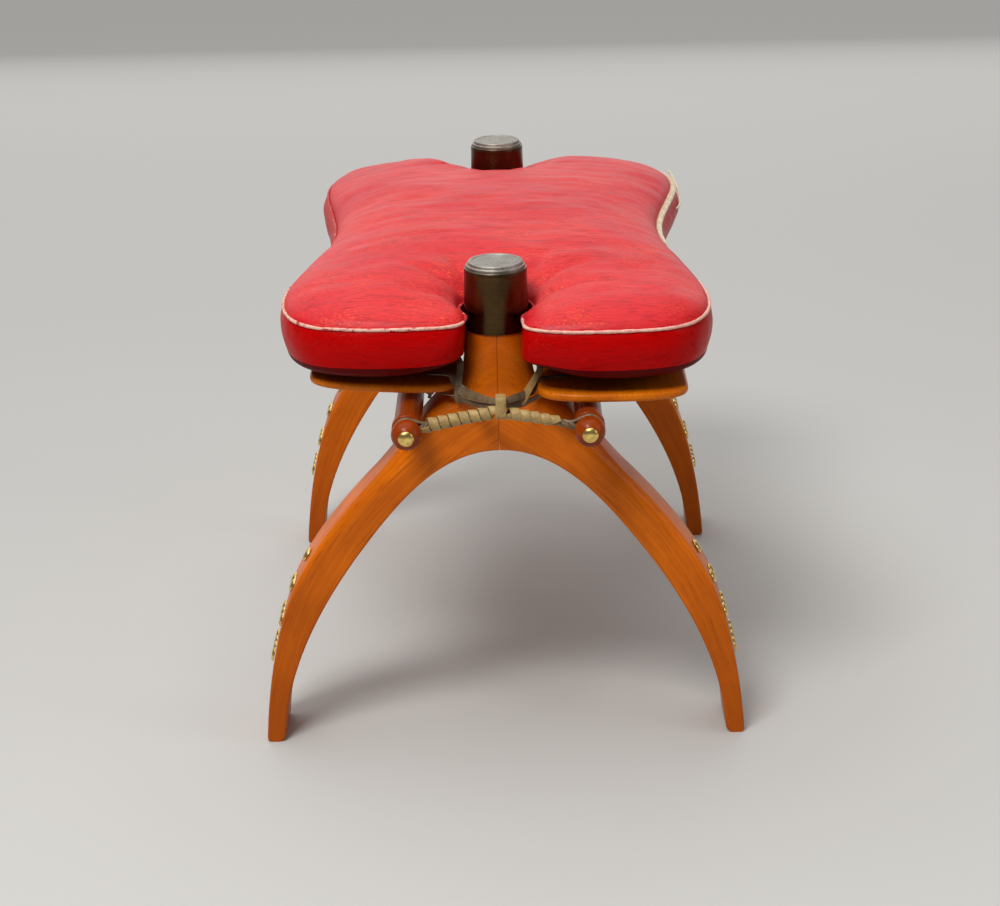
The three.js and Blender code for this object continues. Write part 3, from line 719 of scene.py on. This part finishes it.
def add_rods():
    half = rod_half_profile()
    profile = [(r, -y) for r, y in reversed(half)] + half[1:]
    along = Matrix.Rotation(-math.pi / 2, 4, "X")
    stud = lathe(stud_profile(STUD_RADIUS, STUD_HEIGHT + 0.4), 32)
    for i, (name, side) in enumerate(SIDES.items()):
        rod = placed(lathe(profile, 48), Matrix.Translation((side * ROD_X, 0, ROD_Z)) @ along)
        x, y, z = rod[0].T
        grain = np.stack([y + 1000 * i, x, z], axis=1) * MM
        add_piece(f"{name}_rod_turned", [rod], SHADED_ROD_WOOD, "frame", [f"{name}_rod"],
                  attributes={"grain": grain})
        for end, direction in ENDS.items():
            turn = Matrix.Rotation(-direction * math.pi / 2, 4, "X")
            seat = Matrix.Translation((side * ROD_X, direction * (ROD_HALF - 0.3), ROD_Z))
            node = f"{name}_rod_{end}_stud"
            add_piece(f"{node}_dome", [placed(stud, seat @ turn)], STUD_BRASS, "frame", [node])


# ---- seat boards ----
BOARDS = {
    "left": {"side": -1, "front": -304, "under": 363.7, "tilt": math.radians(3.6)},
    "right": {"side": 1, "front": -337, "under": 360.7, "tilt": 0.0},
}
BOARD_IN, BOARD_WIDTH, BOARD_LENGTH = 36.8, 140, 640
BOARD_MID = BOARD_IN + BOARD_WIDTH / 2


def board_plan(board, inset):
    """Straight sides with broad round ends that follow a superellipse."""
    half, power, end_depth = BOARD_WIDTH / 2, 2.8, 34
    points = []
    for front, angles in ((True, np.linspace(math.pi, 0, 33)), (False, np.linspace(0, math.pi, 33))):
        for t in angles:
            u = math.cos(t)
            depth = end_depth * (1 - (1 - abs(u) ** power) ** (1 / power))
            y = board["front"] + depth if front else board["front"] + BOARD_LENGTH - depth
            points.append((half * u, y))
    plan = np.array(points)
    ahead, behind = np.roll(plan, -1, axis=0), np.roll(plan, 1, axis=0)
    along = unit(ahead - behind)
    return plan + inset * np.stack([-along[:, 1], along[:, 0]], axis=1)


def board_top(board, x):
    return board["under"] + BOARD_THICK - math.sin(board["tilt"]) * (x - board["side"] * BOARD_MID)


def add_boards():
    radius = 3.3
    for i, (name, board) in enumerate(BOARDS.items()):
        rings = []
        for t in np.linspace(0, math.pi / 2, 6):
            rings.append((radius * (1 - math.sin(t)), radius * (1 - math.cos(t))))
        rings += [(inset, BOARD_THICK - z) for inset, z in reversed(rings)]
        points = []
        for inset, z in rings:
            plan = board_plan(board, inset)
            points.append(np.column_stack([plan, np.full(len(plan), z)]))
        count = len(points[0])
        faces = grid_faces(len(rings), count, wrap_columns=True)
        faces += [list(range(count)), [(len(rings) - 1) * count + j for j in range(count)]]
        points = np.concatenate(points)
        grain = np.stack([points[:, 1] + 700 * i, points[:, 0], points[:, 2]], axis=1) * MM
        middle = Matrix.Translation((board["side"] * BOARD_MID, 0, board["under"]))
        part = placed((points, faces), middle @ Matrix.Rotation(board["tilt"], 4, "Y"))
        add_piece(f"{name}_seat_board_rounded", [part], BOARD_WOOD, "frame",
                  [f"{name}_seat_board"], attributes={"grain": grain})


# ---- lashings ----
def bundle_z(x):
    """Height of the lashing's axis at x: highest at the middle, lowest at the rods."""
    if x < 0:
        return 360.3 - 0.185 * -x
    return 360.4 - 0.2 * x


def whipping(x0, x1, wraps, height0, height1):
    """A thong wound round the bundle, its turns nearly touching."""
    steps = wraps * 28
    t = np.linspace(0, 1, steps)
    angle = 2 * math.pi * wraps * t + math.pi / 2
    x = x0 + (x1 - x0) * t
    unevenness = 0.35 * np.sin(7.3 * t * wraps) + 0.2 * np.sin(13.1 * t * wraps + 1)
    tall = (height0 + (height1 - height0) * t) / 2 - 0.7 + unevenness * 0.5
    deep = np.minimum(tall, 5.2)
    middle = np.array([bundle_z(v) for v in x])
    path = np.stack([x, -deep * np.sin(angle), middle + tall * np.cos(angle)], axis=1)
    radial = np.stack([0 * t, -np.sin(angle), np.cos(angle)], axis=1)
    pitch = abs(x1 - x0) / wraps
    return sweep(path, strip_section(pitch * 0.93, 1.4, 0.35), radial)


def strand(points, radius, per_span=8):
    return sweep(smooth_path(points, per_span), round_section(radius, 10), (0, -1, 0))


def ribbon(points, widths, thick, ups):
    """A flat thong through (x, y, z) points, with a width and a face direction at each."""
    path = smooth_path(points)
    t = np.linspace(0, len(points) - 1, len(path))
    keys = np.arange(len(points))
    width = np.interp(t, keys, widths)
    up = np.stack([np.interp(t, keys, [u[i] for u in ups]) for i in range(3)], axis=1)
    return sweep(path, strip_section(1.0, thick, 0.12), up, scale=np.stack([width, np.ones(len(t))], axis=1))


def rod_turns(side):
    """Two thin strands in the groove of the rod, and the thicker twist that joins them to the whipping."""
    parts = []
    reach = GROOVE_RADIUS + 1.3
    start = 60 if side < 0 else 48
    for lane in (-1.15, 1.15):
        points = [(side * start, 0, bundle_z(side * start) + lane)]
        points.append((side * 68, lane, bundle_z(side * 68) + 2.4))
        for degrees in (118, 85, 50, 15, -20, -55, -90, -125, -158):
            a = math.radians(degrees)
            points.append((side * (ROD_X + reach * math.cos(a)), lane, ROD_Z + reach * math.sin(a)))
        points.append((side * 68, lane, bundle_z(side * 68) - 2.6))
        points.append((side * start, 0, bundle_z(side * start) - lane))
        parts.append(strand(points, 1.15))
    for phase in (0, 2.1, 4.2):
        points = []
        for t in np.linspace(0, 1, 12):
            x = side * (start + (71.5 - start) * t)
            turn = phase + 5.5 * t
            points.append((x, 2.0 * math.cos(turn), bundle_z(x) - 1.5 * t + 2.1 * math.sin(turn)))
        parts.append(strand(points, 2.0, per_span=4))
    return parts


def centre_tie():
    """A flat band round the bundle and both straps, its ends tucked behind."""
    low, high, near, far, bend, x = 354.6, 374.6, 6.4, -6.6, 3.0, 2.9
    start = (near, 364, 0)
    corners = [(near, low, bend), (far, low + 0.6, bend), (far, high, bend), (near, high, bend)]
    ring = filleted([start] + corners + [start], 6)
    path = np.array([(x, y, z) for y, z in ring[:-1]])
    middle = np.array([x, 0, 364.3])
    return sweep(path, strip_section(9.6, 1.5, 0.3), unit(path - middle), closed=True)


FRONT = (0, -1, 0)
RISING = (0, -1, 0.5)
UP, DOWN = (0, 0, 1), (0, 0, -1)
# Straps of each side: (x outwards, y from the wishbone plane, z, width, facing) at each point.
LEFT_STRAPS = [
    [(-0.5, -96, 371.1, 5.5, RISING), (9.4, -79.9, 366.8, 6.5, RISING), (21.6, -58.8, 363.5, 9, RISING),
     (32, -39.8, 362.1, 9.5, (0, -1, 0.3)), (38, -34.5, 367.5, 8, (0.35, -0.8, 0.5)),
     (43, -31, 375.2, 7, (0.2, -0.2, 1)), (52, -30, 376.9, 7, (0.06, 0, 1)),
     (64, -27, 376.4, 7, (0.06, 0, 1))],
    [(-0.5, -95.5, 367.2, 5, RISING), (11.4, -76.4, 361.1, 6, RISING), (25.7, -51.8, 355.7, 7.5, FRONT),
     (37, -37.5, 354.5, 7.5, (0, -1, -0.4)), (45, -33, 356.6, 6.5, (0, -0.4, -1)),
     (54, -28, 357.6, 6, DOWN)],
    [(36, -36.5, 350.5, 6, FRONT), (37.5, -37.5, 357, 6.6, FRONT), (37.2, -36, 366, 6.6, (-0.1, -1, 0.1)),
     (35.6, -31, 376, 6.4, (0, -1, 0.4)), (34.5, -24, 384, 6, (0, -0.7, 0.7)),
     (38, -14, 389, 6, (0, -0.2, 1))],
]
RIGHT_STRAPS = [
    [(4.4, -89.2, 368.2, 5.5, RISING), (14.1, -73.2, 365.8, 6.5, RISING), (23, -57.2, 363.5, 7, RISING),
     (31, -41.1, 361.6, 7, (0, -1, 0.3)), (35.5, -35, 366, 6, (-0.5, -0.7, 0.4)),
     (41, -33, 371.2, 6, (0, -0.2, 1)), (51, -31, 372.3, 6, UP), (64, -27, 371.4, 6, UP)],
    [(4.4, -88.6, 364.1, 5, RISING), (15.1, -71.4, 358.7, 6.5, RISING), (26, -52.1, 354.7, 7.5, FRONT),
     (34, -38.5, 353.5, 7, (0, -1, -0.3)), (43, -33, 355, 6, (0, -0.4, -1)), (52, -28, 355.5, 6, DOWN)],
]
TAN_STRAP = [
    (20.5, -61.5, 356.5, 7.2, FRONT), (23.5, -57.9, 360.1, 7.4, (-0.2, -1, 0.1)),
    (28, -48.3, 364.9, 7, (-0.3, -1, 0.2)), (34, -37, 371, 6.8, (-0.4, -1, 0.3)),
    (40, -29, 379, 6.6, (-0.4, -1, 0.5)), (44, -20, 386, 6.4, (-0.3, -0.6, 0.8)),
]
STOPPER = (64, -24.5, 356.5)


def strap(rows, side):
    points = [(side * x, y, z) for x, y, z, *_ in rows]
    ups = [(side * up[0], up[1], up[2]) for *_, up in rows]
    return ribbon(points, [row[3] for row in rows], 1.5, ups)


def stopper(side, board):
    """The strap's end below its board: a short tail and a lumpy overhand knot."""
    x, y, _ = STOPPER
    under = board_top(board, side * x) - BOARD_THICK
    knot = []
    for t in np.linspace(0, 2 * math.pi, 15)[:-1]:
        lift = 0.9 * math.sin(2 * t)
        knot.append((side * x + 2.3 * math.cos(t), y + 2.3 * math.sin(t), under - 3.2 + lift))
    ring = smooth_path(knot, 4, closed=True)
    tail = [(side * x, y, under + 1), (side * x + 0.4, y, under - 4), (side * x - 0.5, y - 0.8, under - 9.4)]
    return [sweep(ring, round_section(2.0, 10), (0, 0, 1), closed=True), strand(tail, 1.7)]


# Each whipping: where it starts and ends along X, its turns, and its height at both ends.
WHIPPINGS = {"left": (-67.0, -2.0, 7, 12.8, 11.1), "right": (7.9, 53.6, 5, 11.3, 9.2)}


def add_lashings():
    for end, direction in ENDS.items():
        facing = Matrix.Diagonal((1, -direction, 1, 1))

        def lash(name, parts, offset, look, replaces):
            """Set parts drawn for the front down at this end, at a distance from the middle."""
            shift = Matrix.Translation((0, direction * offset, 0))
            moved = [placed(part, shift @ facing) for part in parts]
            add_piece(f"{end}_{name}", moved, look, "frame", [f"{end}_{node}" for node in replaces])

        lash("rod_turns", rod_turns(-1) + rod_turns(1), LASH_Y, STRAP_HIDE,
             ["rod_lashing"])
        for name, sizes in WHIPPINGS.items():
            lash(f"whipping_{name}_thong", [whipping(*sizes)], LASH_Y, WHIPPING_HIDE,
                 [f"whipping_{name}"])
        lash("tie_band", [centre_tie()], LASH_Y, WHIPPING_HIDE, ["centre_tie"])
        for name, rows in (("left", LEFT_STRAPS), ("right", RIGHT_STRAPS)):
            side = SIDES[name]
            parts = [strap(row, side) for row in rows] + stopper(side, BOARDS[name])
            lash(f"strap_{name}_thongs", parts, WISHBONE_Y, STRAP_HIDE,
                 [f"board_strap_{name}"])
        lash("strap_right_tan", [strap(TAN_STRAP, 1)], WISHBONE_Y, TAN_HIDE, [])


# ---- cushion ----
NOTCH_RADIUS, WAIST = 37, 167
# Each lobe: how far it reaches, its widest half-width and where along Y that is, where its end turns into its
# side, and how far its edge stands from the centre line at the mouth of the notch.
LOBES = {
    (1, -1): (343, 199, 240, 150, 25.5), (-1, -1): (323, 201, 214, 150, 29.0),
    (-1, 1): (320, 188, 212, 120, 26.5), (1, 1): (320, 195, 212, 124, 25.5),
}


def lobe_edge(sx, sy):
    """Seam line of one corner lobe, from the waist out to its end and in to the bottom of the notch."""
    reach, widest, middle, shoulder, throat = LOBES[sx, sy]
    mouth = math.sqrt(NOTCH_RADIUS ** 2 - throat ** 2)
    arc_start = math.atan2(mouth, throat)
    turn = shoulder + 0.76 * (widest - shoulder)
    parts = [
        bezier((WAIST, 0), (WAIST, 0.38 * middle), (widest, 0.72 * middle), (widest, middle), 70),
        bezier((widest, middle), (widest, (middle + reach) / 2 - 3),
               (turn, reach - 16), (shoulder, reach - 6), 44),
        bezier((shoulder, reach - 6), (shoulder - 30, reach + 0.7), (90, reach + 1), (60, reach - 3), 30),
        bezier((60, reach - 3), (42, reach - 5.7), (throat + 2, reach - 10), (throat + 1, reach - 24), 16),
        bezier((throat + 1, reach - 24), (throat + 0.7, reach - 34), (throat, WISHBONE_Y + mouth + 12),
               (throat, WISHBONE_Y + mouth), 10),
        np.array([(NOTCH_RADIUS * math.cos(a), WISHBONE_Y + NOTCH_RADIUS * math.sin(a))
                  for a in np.linspace(arc_start, -math.pi / 2, 30, endpoint=False)]),
    ]
    return np.concatenate(parts) * (sx, sy)


def even_ring(count):
    """The whole seam line, anticlockwise from the right waist, at even steps and lightly smoothed."""
    order = [((1, 1), False), ((-1, 1), True), ((-1, -1), False), ((1, -1), True)]
    loops = [lobe_edge(*corner)[::-1] if flip else lobe_edge(*corner) for corner, flip in order]
    ring = np.concatenate(loops + [loops[0][:1]])
    run = np.concatenate([[0], np.cumsum(np.linalg.norm(np.diff(ring, axis=0), axis=1))])
    at = np.linspace(0, run[-1], count, endpoint=False)
    ring = np.stack([np.interp(at, run, ring[:, 0]), np.interp(at, run, ring[:, 1])], axis=1)
    for _ in range(6):
        ring = (np.roll(ring, 1, axis=0) + 2 * ring + np.roll(ring, -1, axis=0)) / 4
    return ring


RING = even_ring(720)


def outward(ring):
    along = unit(np.roll(ring, -1, axis=0) - np.roll(ring, 1, axis=0))
    return np.stack([along[:, 1], -along[:, 0]], axis=1)


def panel_mesh(ring, spacing=4.6):
    """Triangles inside the ring, in rows that follow the seam near it; the ring's points come first."""
    normals = outward(ring)
    points = [ring]
    for i, distance in enumerate((1.0, 2.4, 4.4, 7.2, 11.0)):
        row = (ring - distance * normals)[(i % 2)::2 if i < 2 else 3]
        gap = nearest_distance(row, ring)
        row = row[gap > 0.93 * distance]
        points.append(row)
    xs = np.arange(-230, 231, spacing)
    ys = np.arange(-366, 367, spacing * 0.87)
    cloud = np.array([(x + (spacing / 2 if j % 2 else 0), y) for j, y in enumerate(ys) for x in xs])
    cloud = cloud[inside(cloud, ring)]
    cloud = cloud[nearest_distance(cloud, ring) > 13.5]
    points.append(cloud)
    flat = np.concatenate(points)
    result = geometry.delaunay_2d_cdt([Vector(p) for p in flat], [], [list(range(len(ring)))], 1, 1e-4)
    return np.array([tuple(p) for p in result[0]]), [list(f) for f in result[2]]


def nearest_distance(points, ring):
    found = np.empty(len(points))
    for start in range(0, len(points), 800):
        block = points[start:start + 800]
        found[start:start + 800] = np.sqrt(((block[:, None] - ring[None]) ** 2).sum(-1)).min(axis=1)
    return found


def inside(points, ring):
    x, y = points[:, 0], points[:, 1]
    result = np.zeros(len(points), bool)
    ahead = np.roll(ring, -1, axis=0)
    for (ax, ay), (bx, by) in zip(ring, ahead):
        if ay == by:
            continue
        crosses = (ay > y) != (by > y)
        result ^= crosses & (x < (bx - ax) * (y - ay) / (by - ay) + ax)
    return result


def film(points, faces):
    """Height of a soap film blown up evenly over the panel and held at its rim; its highest point is 1.

    Linear triangles with cotangent weights, solved by conjugate gradients.
    """
    tri = np.array([f for f in faces if len(f) == 3])
    rows, columns, weights = [], [], []
    load = np.zeros(len(points))
    for k in range(3):
        a, b, c = tri[:, k], tri[:, (k + 1) % 3], tri[:, (k + 2) % 3]
        u, v = points[a] - points[c], points[b] - points[c]
        area = np.abs(u[:, 0] * v[:, 1] - u[:, 1] * v[:, 0])
        cotangent = (u * v).sum(1) / np.maximum(area, 1e-9) / 2
        rows += [a, b]
        columns += [b, a]
        weights += [cotangent, cotangent]
        load += np.bincount(a, area / 6, len(points))
    rows, columns, weights = (np.concatenate(v) for v in (rows, columns, weights))
    diagonal = np.bincount(rows, weights, len(points))
    free = nearest_distance(points, RING) > 0.02

    def laplacian(h):
        return np.where(free, diagonal * h - np.bincount(rows, weights * h[columns], len(points)), 0)

    h = np.zeros(len(points))
    residual = np.where(free, load, 0)
    step = residual.copy()
    size = residual @ residual
    for _ in range(900):
        image = laplacian(step)
        rate = size / max(step @ image, 1e-30)
        h += rate * step
        residual -= rate * image
        new_size = residual @ residual
        if new_size < 1e-12 * max(size, 1e-30) or new_size < 1e-9:
            break
        step = residual + new_size / size * step
        size = new_size
    return np.maximum(h, 0) / h.max()


def fold(points, start, end, width, depth):
    """A crease from start towards end: deepest where it begins, dying out at its end."""
    start, end = np.array(start, float), np.array(end, float)
    direction = end - start
    length = np.linalg.norm(direction)
    t = ((points - start) @ direction) / length ** 2
    nearest = start + np.clip(t, 0, 1)[:, None] * direction
    off = np.linalg.norm(points - nearest, axis=1)
    widening = width * (0.55 + 0.9 * np.clip(t, 0, 1))
    valley = 0.65 * np.exp(-(off / widening) ** 2) + 0.35 * np.exp(-(off / (0.4 * widening)) ** 2)
    return -depth * valley * (1 - np.clip(t, 0, 1)) ** 1.1


PIPING_SIDES = 12
CROWN = 46                      # height of the top panel above its seam, before the hollows
# Creases at the right side of the front notch, as (start, end, width, depth). The left side and the rear
# notch mirror them.
FOLDS = [
    ((33, -238), (104, -192), 8.0, 6.0),
    ((27, -230), (62, -146), 9.0, 4.0),
    ((37, -264), (100, -258), 7.0, 3.6),
    ((12, -222), (18, -156), 8.0, 2.6),
]


def top_height(points, soap):
    """Height of the top panel above the seam."""
    z = CROWN * np.sqrt(soap)
    x, y = points.T
    z += 6.5 * np.exp(-((x + 72) / 50) ** 2 - ((y - 250) / 60) ** 2) * np.clip(soap * 4, 0, 1)
    z += 4.5 * np.exp(-((x - 84) / 50) ** 2 - ((y - 250) / 60) ** 2) * np.clip(soap * 4, 0, 1)
    flat3 = np.column_stack([points, np.zeros(len(points))])
    z -= 6.0 * np.exp(-(x / 90) ** 2 - (y / 210) ** 4) * np.clip(soap * 4, 0, 1)
    rim = np.clip(soap * 14, 0, 1)
    z += rim * (wobble(flat3, 85, 2.6, 3.1) + wobble(flat3, 34, 1.2, 7.7) + wobble(flat3, 14, 0.35, 1.3))
    stretch = flat3 * (0.35, 1, 1)
    z += rim * wobble(stretch, 16, 0.7, 5.9)
    for start, end, width, depth in FOLDS:
        for mirror in ((1, 1), (-1, 1), (1, -1), (-1, -1)):
            change = fold(points, np.array(start) * mirror, np.array(end) * mirror, width, depth)
            z += change * np.clip(soap * 20, 0, 1)
    return np.maximum(z, 0)


def bulge(ring):
    """How far the boxing stands out from the seam, round the ring."""
    x, y = np.abs(ring).T
    to_notch = np.hypot(x, y - WISHBONE_Y)
    side = np.where(ring[:, 1] < 0, 1.6, np.where(ring[:, 0] < 0, 3.0, 4.6))
    amount = 3.0 + side * np.clip((285 - y) / 90, 0, 1)
    notch = np.clip((to_notch - 40) / 26, 0, 1) * np.clip((x - 24) / 10, 0, 1)
    return 0.8 + amount * notch


def near_mouth(ring, size):
    """1 at the mouth of a notch, fading out over a distance."""
    x, y = np.abs(ring).T
    return np.exp(-(np.hypot(x - 28, np.minimum(y - 300, 0)) / size) ** 2)


def lean(ring):
    """How far the foot of the boxing leans at the mouth of each notch: out on the right, in on the left."""
    return near_mouth(ring, 16) * np.where(ring[:, 0] < 0, -5.5, 2.5)


def boxing_part():
    ring, normals = RING, outward(RING)
    amount, tip = bulge(ring), lean(ring)
    low = SEAM_LOW + near_mouth(ring, 34) * np.where(ring[:, 0] < 0, 2.0, 6.0)
    rows = []
    drops = np.concatenate([[0.0, 0.012, 0.03], np.linspace(0.06, 1, 17)])
    for v in drops:
        out = amount * (1 - (2 * v ** 0.8 - 0.95) ** 2) + (1.2 + tip) * v
        z = SEAM_TOP - 0.3 + (low - SEAM_TOP + 0.3) * v
        flat = ring + normals * out[:, None]
        points = np.column_stack([flat, z])
        ripple = wobble(points * (1, 1, 0.4), 22, 0.7, 4.4) + wobble(points, 9, 0.22, 8.2)
        points[:, :2] += normals * (ripple * math.sin(math.pi * v))[:, None]
        rows.append(points)
    return np.concatenate(rows), grid_faces(len(rows), len(ring), wrap_columns=True)


def add_cushion():
    flat, faces = panel_mesh(RING)
    soap = film(flat, faces)
    top = np.column_stack([flat, SEAM_TOP + 0.3 + top_height(flat, soap)])
    top_piece = add_piece("cushion_top_sewn", [(top, faces)], TOP_LEATHER, "cushion",
                          ["cushion_top_panel", "cushion_filling"], sharp=80)
    boxing = boxing_part()
    side_piece = add_piece("cushion_boxing_sewn", [boxing], SIDE_LEATHER, "cushion",
                           ["cushion_boxing"], sharp=80)
    low_ring = boxing[0][-len(RING):]
    near = np.array([np.argmin(((RING - p) ** 2).sum(1)) for p in flat])
    distance = np.sqrt(((RING[near] - flat) ** 2).sum(1))
    shift = (low_ring[near, :2] - RING[near]) * np.exp(-distance / 14)[:, None]
    seam_z = low_ring[near, 2]
    belly = 1 - (1 - np.clip(np.sqrt(soap) / 0.46, 0, 1)) ** 1.6
    belly *= 1 - 0.6 * near_mouth(flat, 42)
    bottom = np.column_stack([flat + shift, seam_z - (seam_z - CUSHION_BOTTOM) * belly])
    under_piece = add_piece("cushion_underside_sewn", [(bottom, faces)], SHADED_UNDER_LEATHER, "cushion",
                            ["cushion_bottom_panel"], sharp=80)
    add_seams()


def add_seams():
    ring, normals = RING, outward(RING)
    line = np.column_stack([ring + 1.5 * normals, np.full(len(ring), SEAM_TOP)])
    line[:, 2] += wobble(line, 30, 0.5, 2.2)
    radius = 1.0 + wobble(line, 7, 0.2, 6.1) + wobble(line, 2.6, 0.16, 9.4)
    scale = np.stack([radius, radius], axis=1)
    tube = sweep(line, round_section(1.6, PIPING_SIDES), (0, 0, 1), closed=True, scale=scale)
    x, y = np.abs(ring).T
    to_notch = np.hypot(x, y - WISHBONE_Y)
    front = np.clip((-ring[:, 1] - 150) / 40, 0, 1)
    wear = np.clip((to_notch - 44) / 12, 0, 1) * (0.1 + 0.5 * front + 0.45 * (ring[:, 0] > 0))
    wear = np.repeat(wear, PIPING_SIDES)
    add_piece("cushion_piping_sewn", [tube], PIPING_LEATHER, "cushion", ["cushion_piping"],
              attributes={"wear": wear})
    side = ring[(ring[:, 0] > 140) & (ring[:, 1] > -50) & (ring[:, 1] < 281)]
    side = side[np.argsort(side[:, 1])]
    core = np.column_stack([side + 1.5 * outward_of(side), np.full(len(side), SEAM_TOP + 0.2)])
    add_piece("cushion_whip_stitches", [whip_stitch(core)], LACE, "cushion",
              ["cushion_lacing"])


def outward_of(line):
    along = unit(np.gradient(line, axis=0))
    return np.stack([along[:, 1], -along[:, 0]], axis=1)


def whip_stitch(core, pitch=7.2):
    """A cord wound over the piping along the seam."""
    run = np.concatenate([[0], np.cumsum(np.linalg.norm(np.diff(core, axis=0), axis=1))])
    turns = run[-1] / pitch
    t = np.linspace(0, run[-1], int(turns * 14))
    path = np.stack([np.interp(t, run, core[:, i]) for i in range(3)], axis=1)
    along = unit(np.gradient(path, axis=0))
    up = np.array([0, 0, 1.0])
    out = unit(np.cross(along, up))
    angle = 2 * math.pi * t / pitch
    reach = 2.9 + 0.3 * np.sin(t * 0.9)
    path = path + out * (reach * np.cos(angle))[:, None] + up * (reach * np.sin(angle))[:, None]
    radial = out * np.cos(angle)[:, None] + up * np.sin(angle)[:, None]
    return sweep(path, round_section(1.15, 8), radial)


# ---- floor and light ----
def add_stage():
    mesh = bpy.data.meshes.new("floor")
    mesh.from_pydata([(-9, -6, 0), (9, -6, 0), (9, 12, 0), (-9, 12, 0)], [], [(0, 1, 2, 3)])
    floor = bpy.data.objects.new("floor", mesh)
    bpy.context.scene.collection.objects.link(floor)
    look = Look("floor", 0.85, Specular_IOR_Level=0.2)
    mesh.materials.append(look.finish((0.50, 0.49, 0.465)))


def add_light(name, place, target, size, power, colour=(1, 1, 1)):
    data = bpy.data.lights.new(name, "AREA")
    data.shape = "RECTANGLE"
    data.size, data.size_y = size
    data.energy = power
    data.color = colour
    light = bpy.data.objects.new(name, data)
    light.location = place
    light.rotation_euler = (Vector(target) - Vector(place)).to_track_quat("-Z", "Y").to_euler()
    bpy.context.scene.collection.objects.link(light)


def add_lights():
    """A very soft light from above, a bright panel behind, two fills and a dim even sky."""
    data = bpy.data.lights.new("soft_top", "SUN")
    data.energy = 1.6
    data.angle = math.radians(75)
    top = bpy.data.objects.new("soft_top", data)
    top.rotation_euler = Vector((0.2, -0.22, -1)).to_track_quat("-Z", "Y").to_euler()
    bpy.context.scene.collection.objects.link(top)
    add_light("back_panel", (-0.4, 3.4, 1.45), (-0.4, 0, 1.1), (6.0, 2.3), 42)
    add_light("front_fill", (-0.9, -1.9, 2.9), (0, -0.1, 0.35), (1.2, 0.9), 78)
    add_light("right_fill", (2.8, -0.9, 1.6), (0, 0, 0.25), (1.2, 1.4), 12)
    world = bpy.data.worlds.new("world")
    world.use_nodes = True
    world.node_tree.nodes["Background"].inputs["Color"].default_value = (0.94, 0.96, 1.0, 1)
    world.node_tree.nodes["Background"].inputs["Strength"].default_value = 0.16
    bpy.context.scene.world = world
    bpy.context.scene.view_settings.view_transform = "Standard"


def finish_dowels():
    """The hidden dowels keep their CAD shape and get their wood."""
    for end in ENDS:
        for level in ("lower", "upper"):
            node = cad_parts[f"{end}_{level}_dowel"]
            points = np.array([v.co for v in node.data.vertices])
            layer = node.data.attributes.new("grain", "FLOAT_VECTOR", "POINT")
            layer.data.foreach_set("vector", points.astype(np.float32).ravel())
            node.data.materials.clear()
            node.data.materials.append(DOWEL_WOOD)


add_legs()
add_caps()
add_studs()
add_rods()
add_boards()
add_lashings()
add_cushion()
finish_dowels()
add_stage()
add_lights()
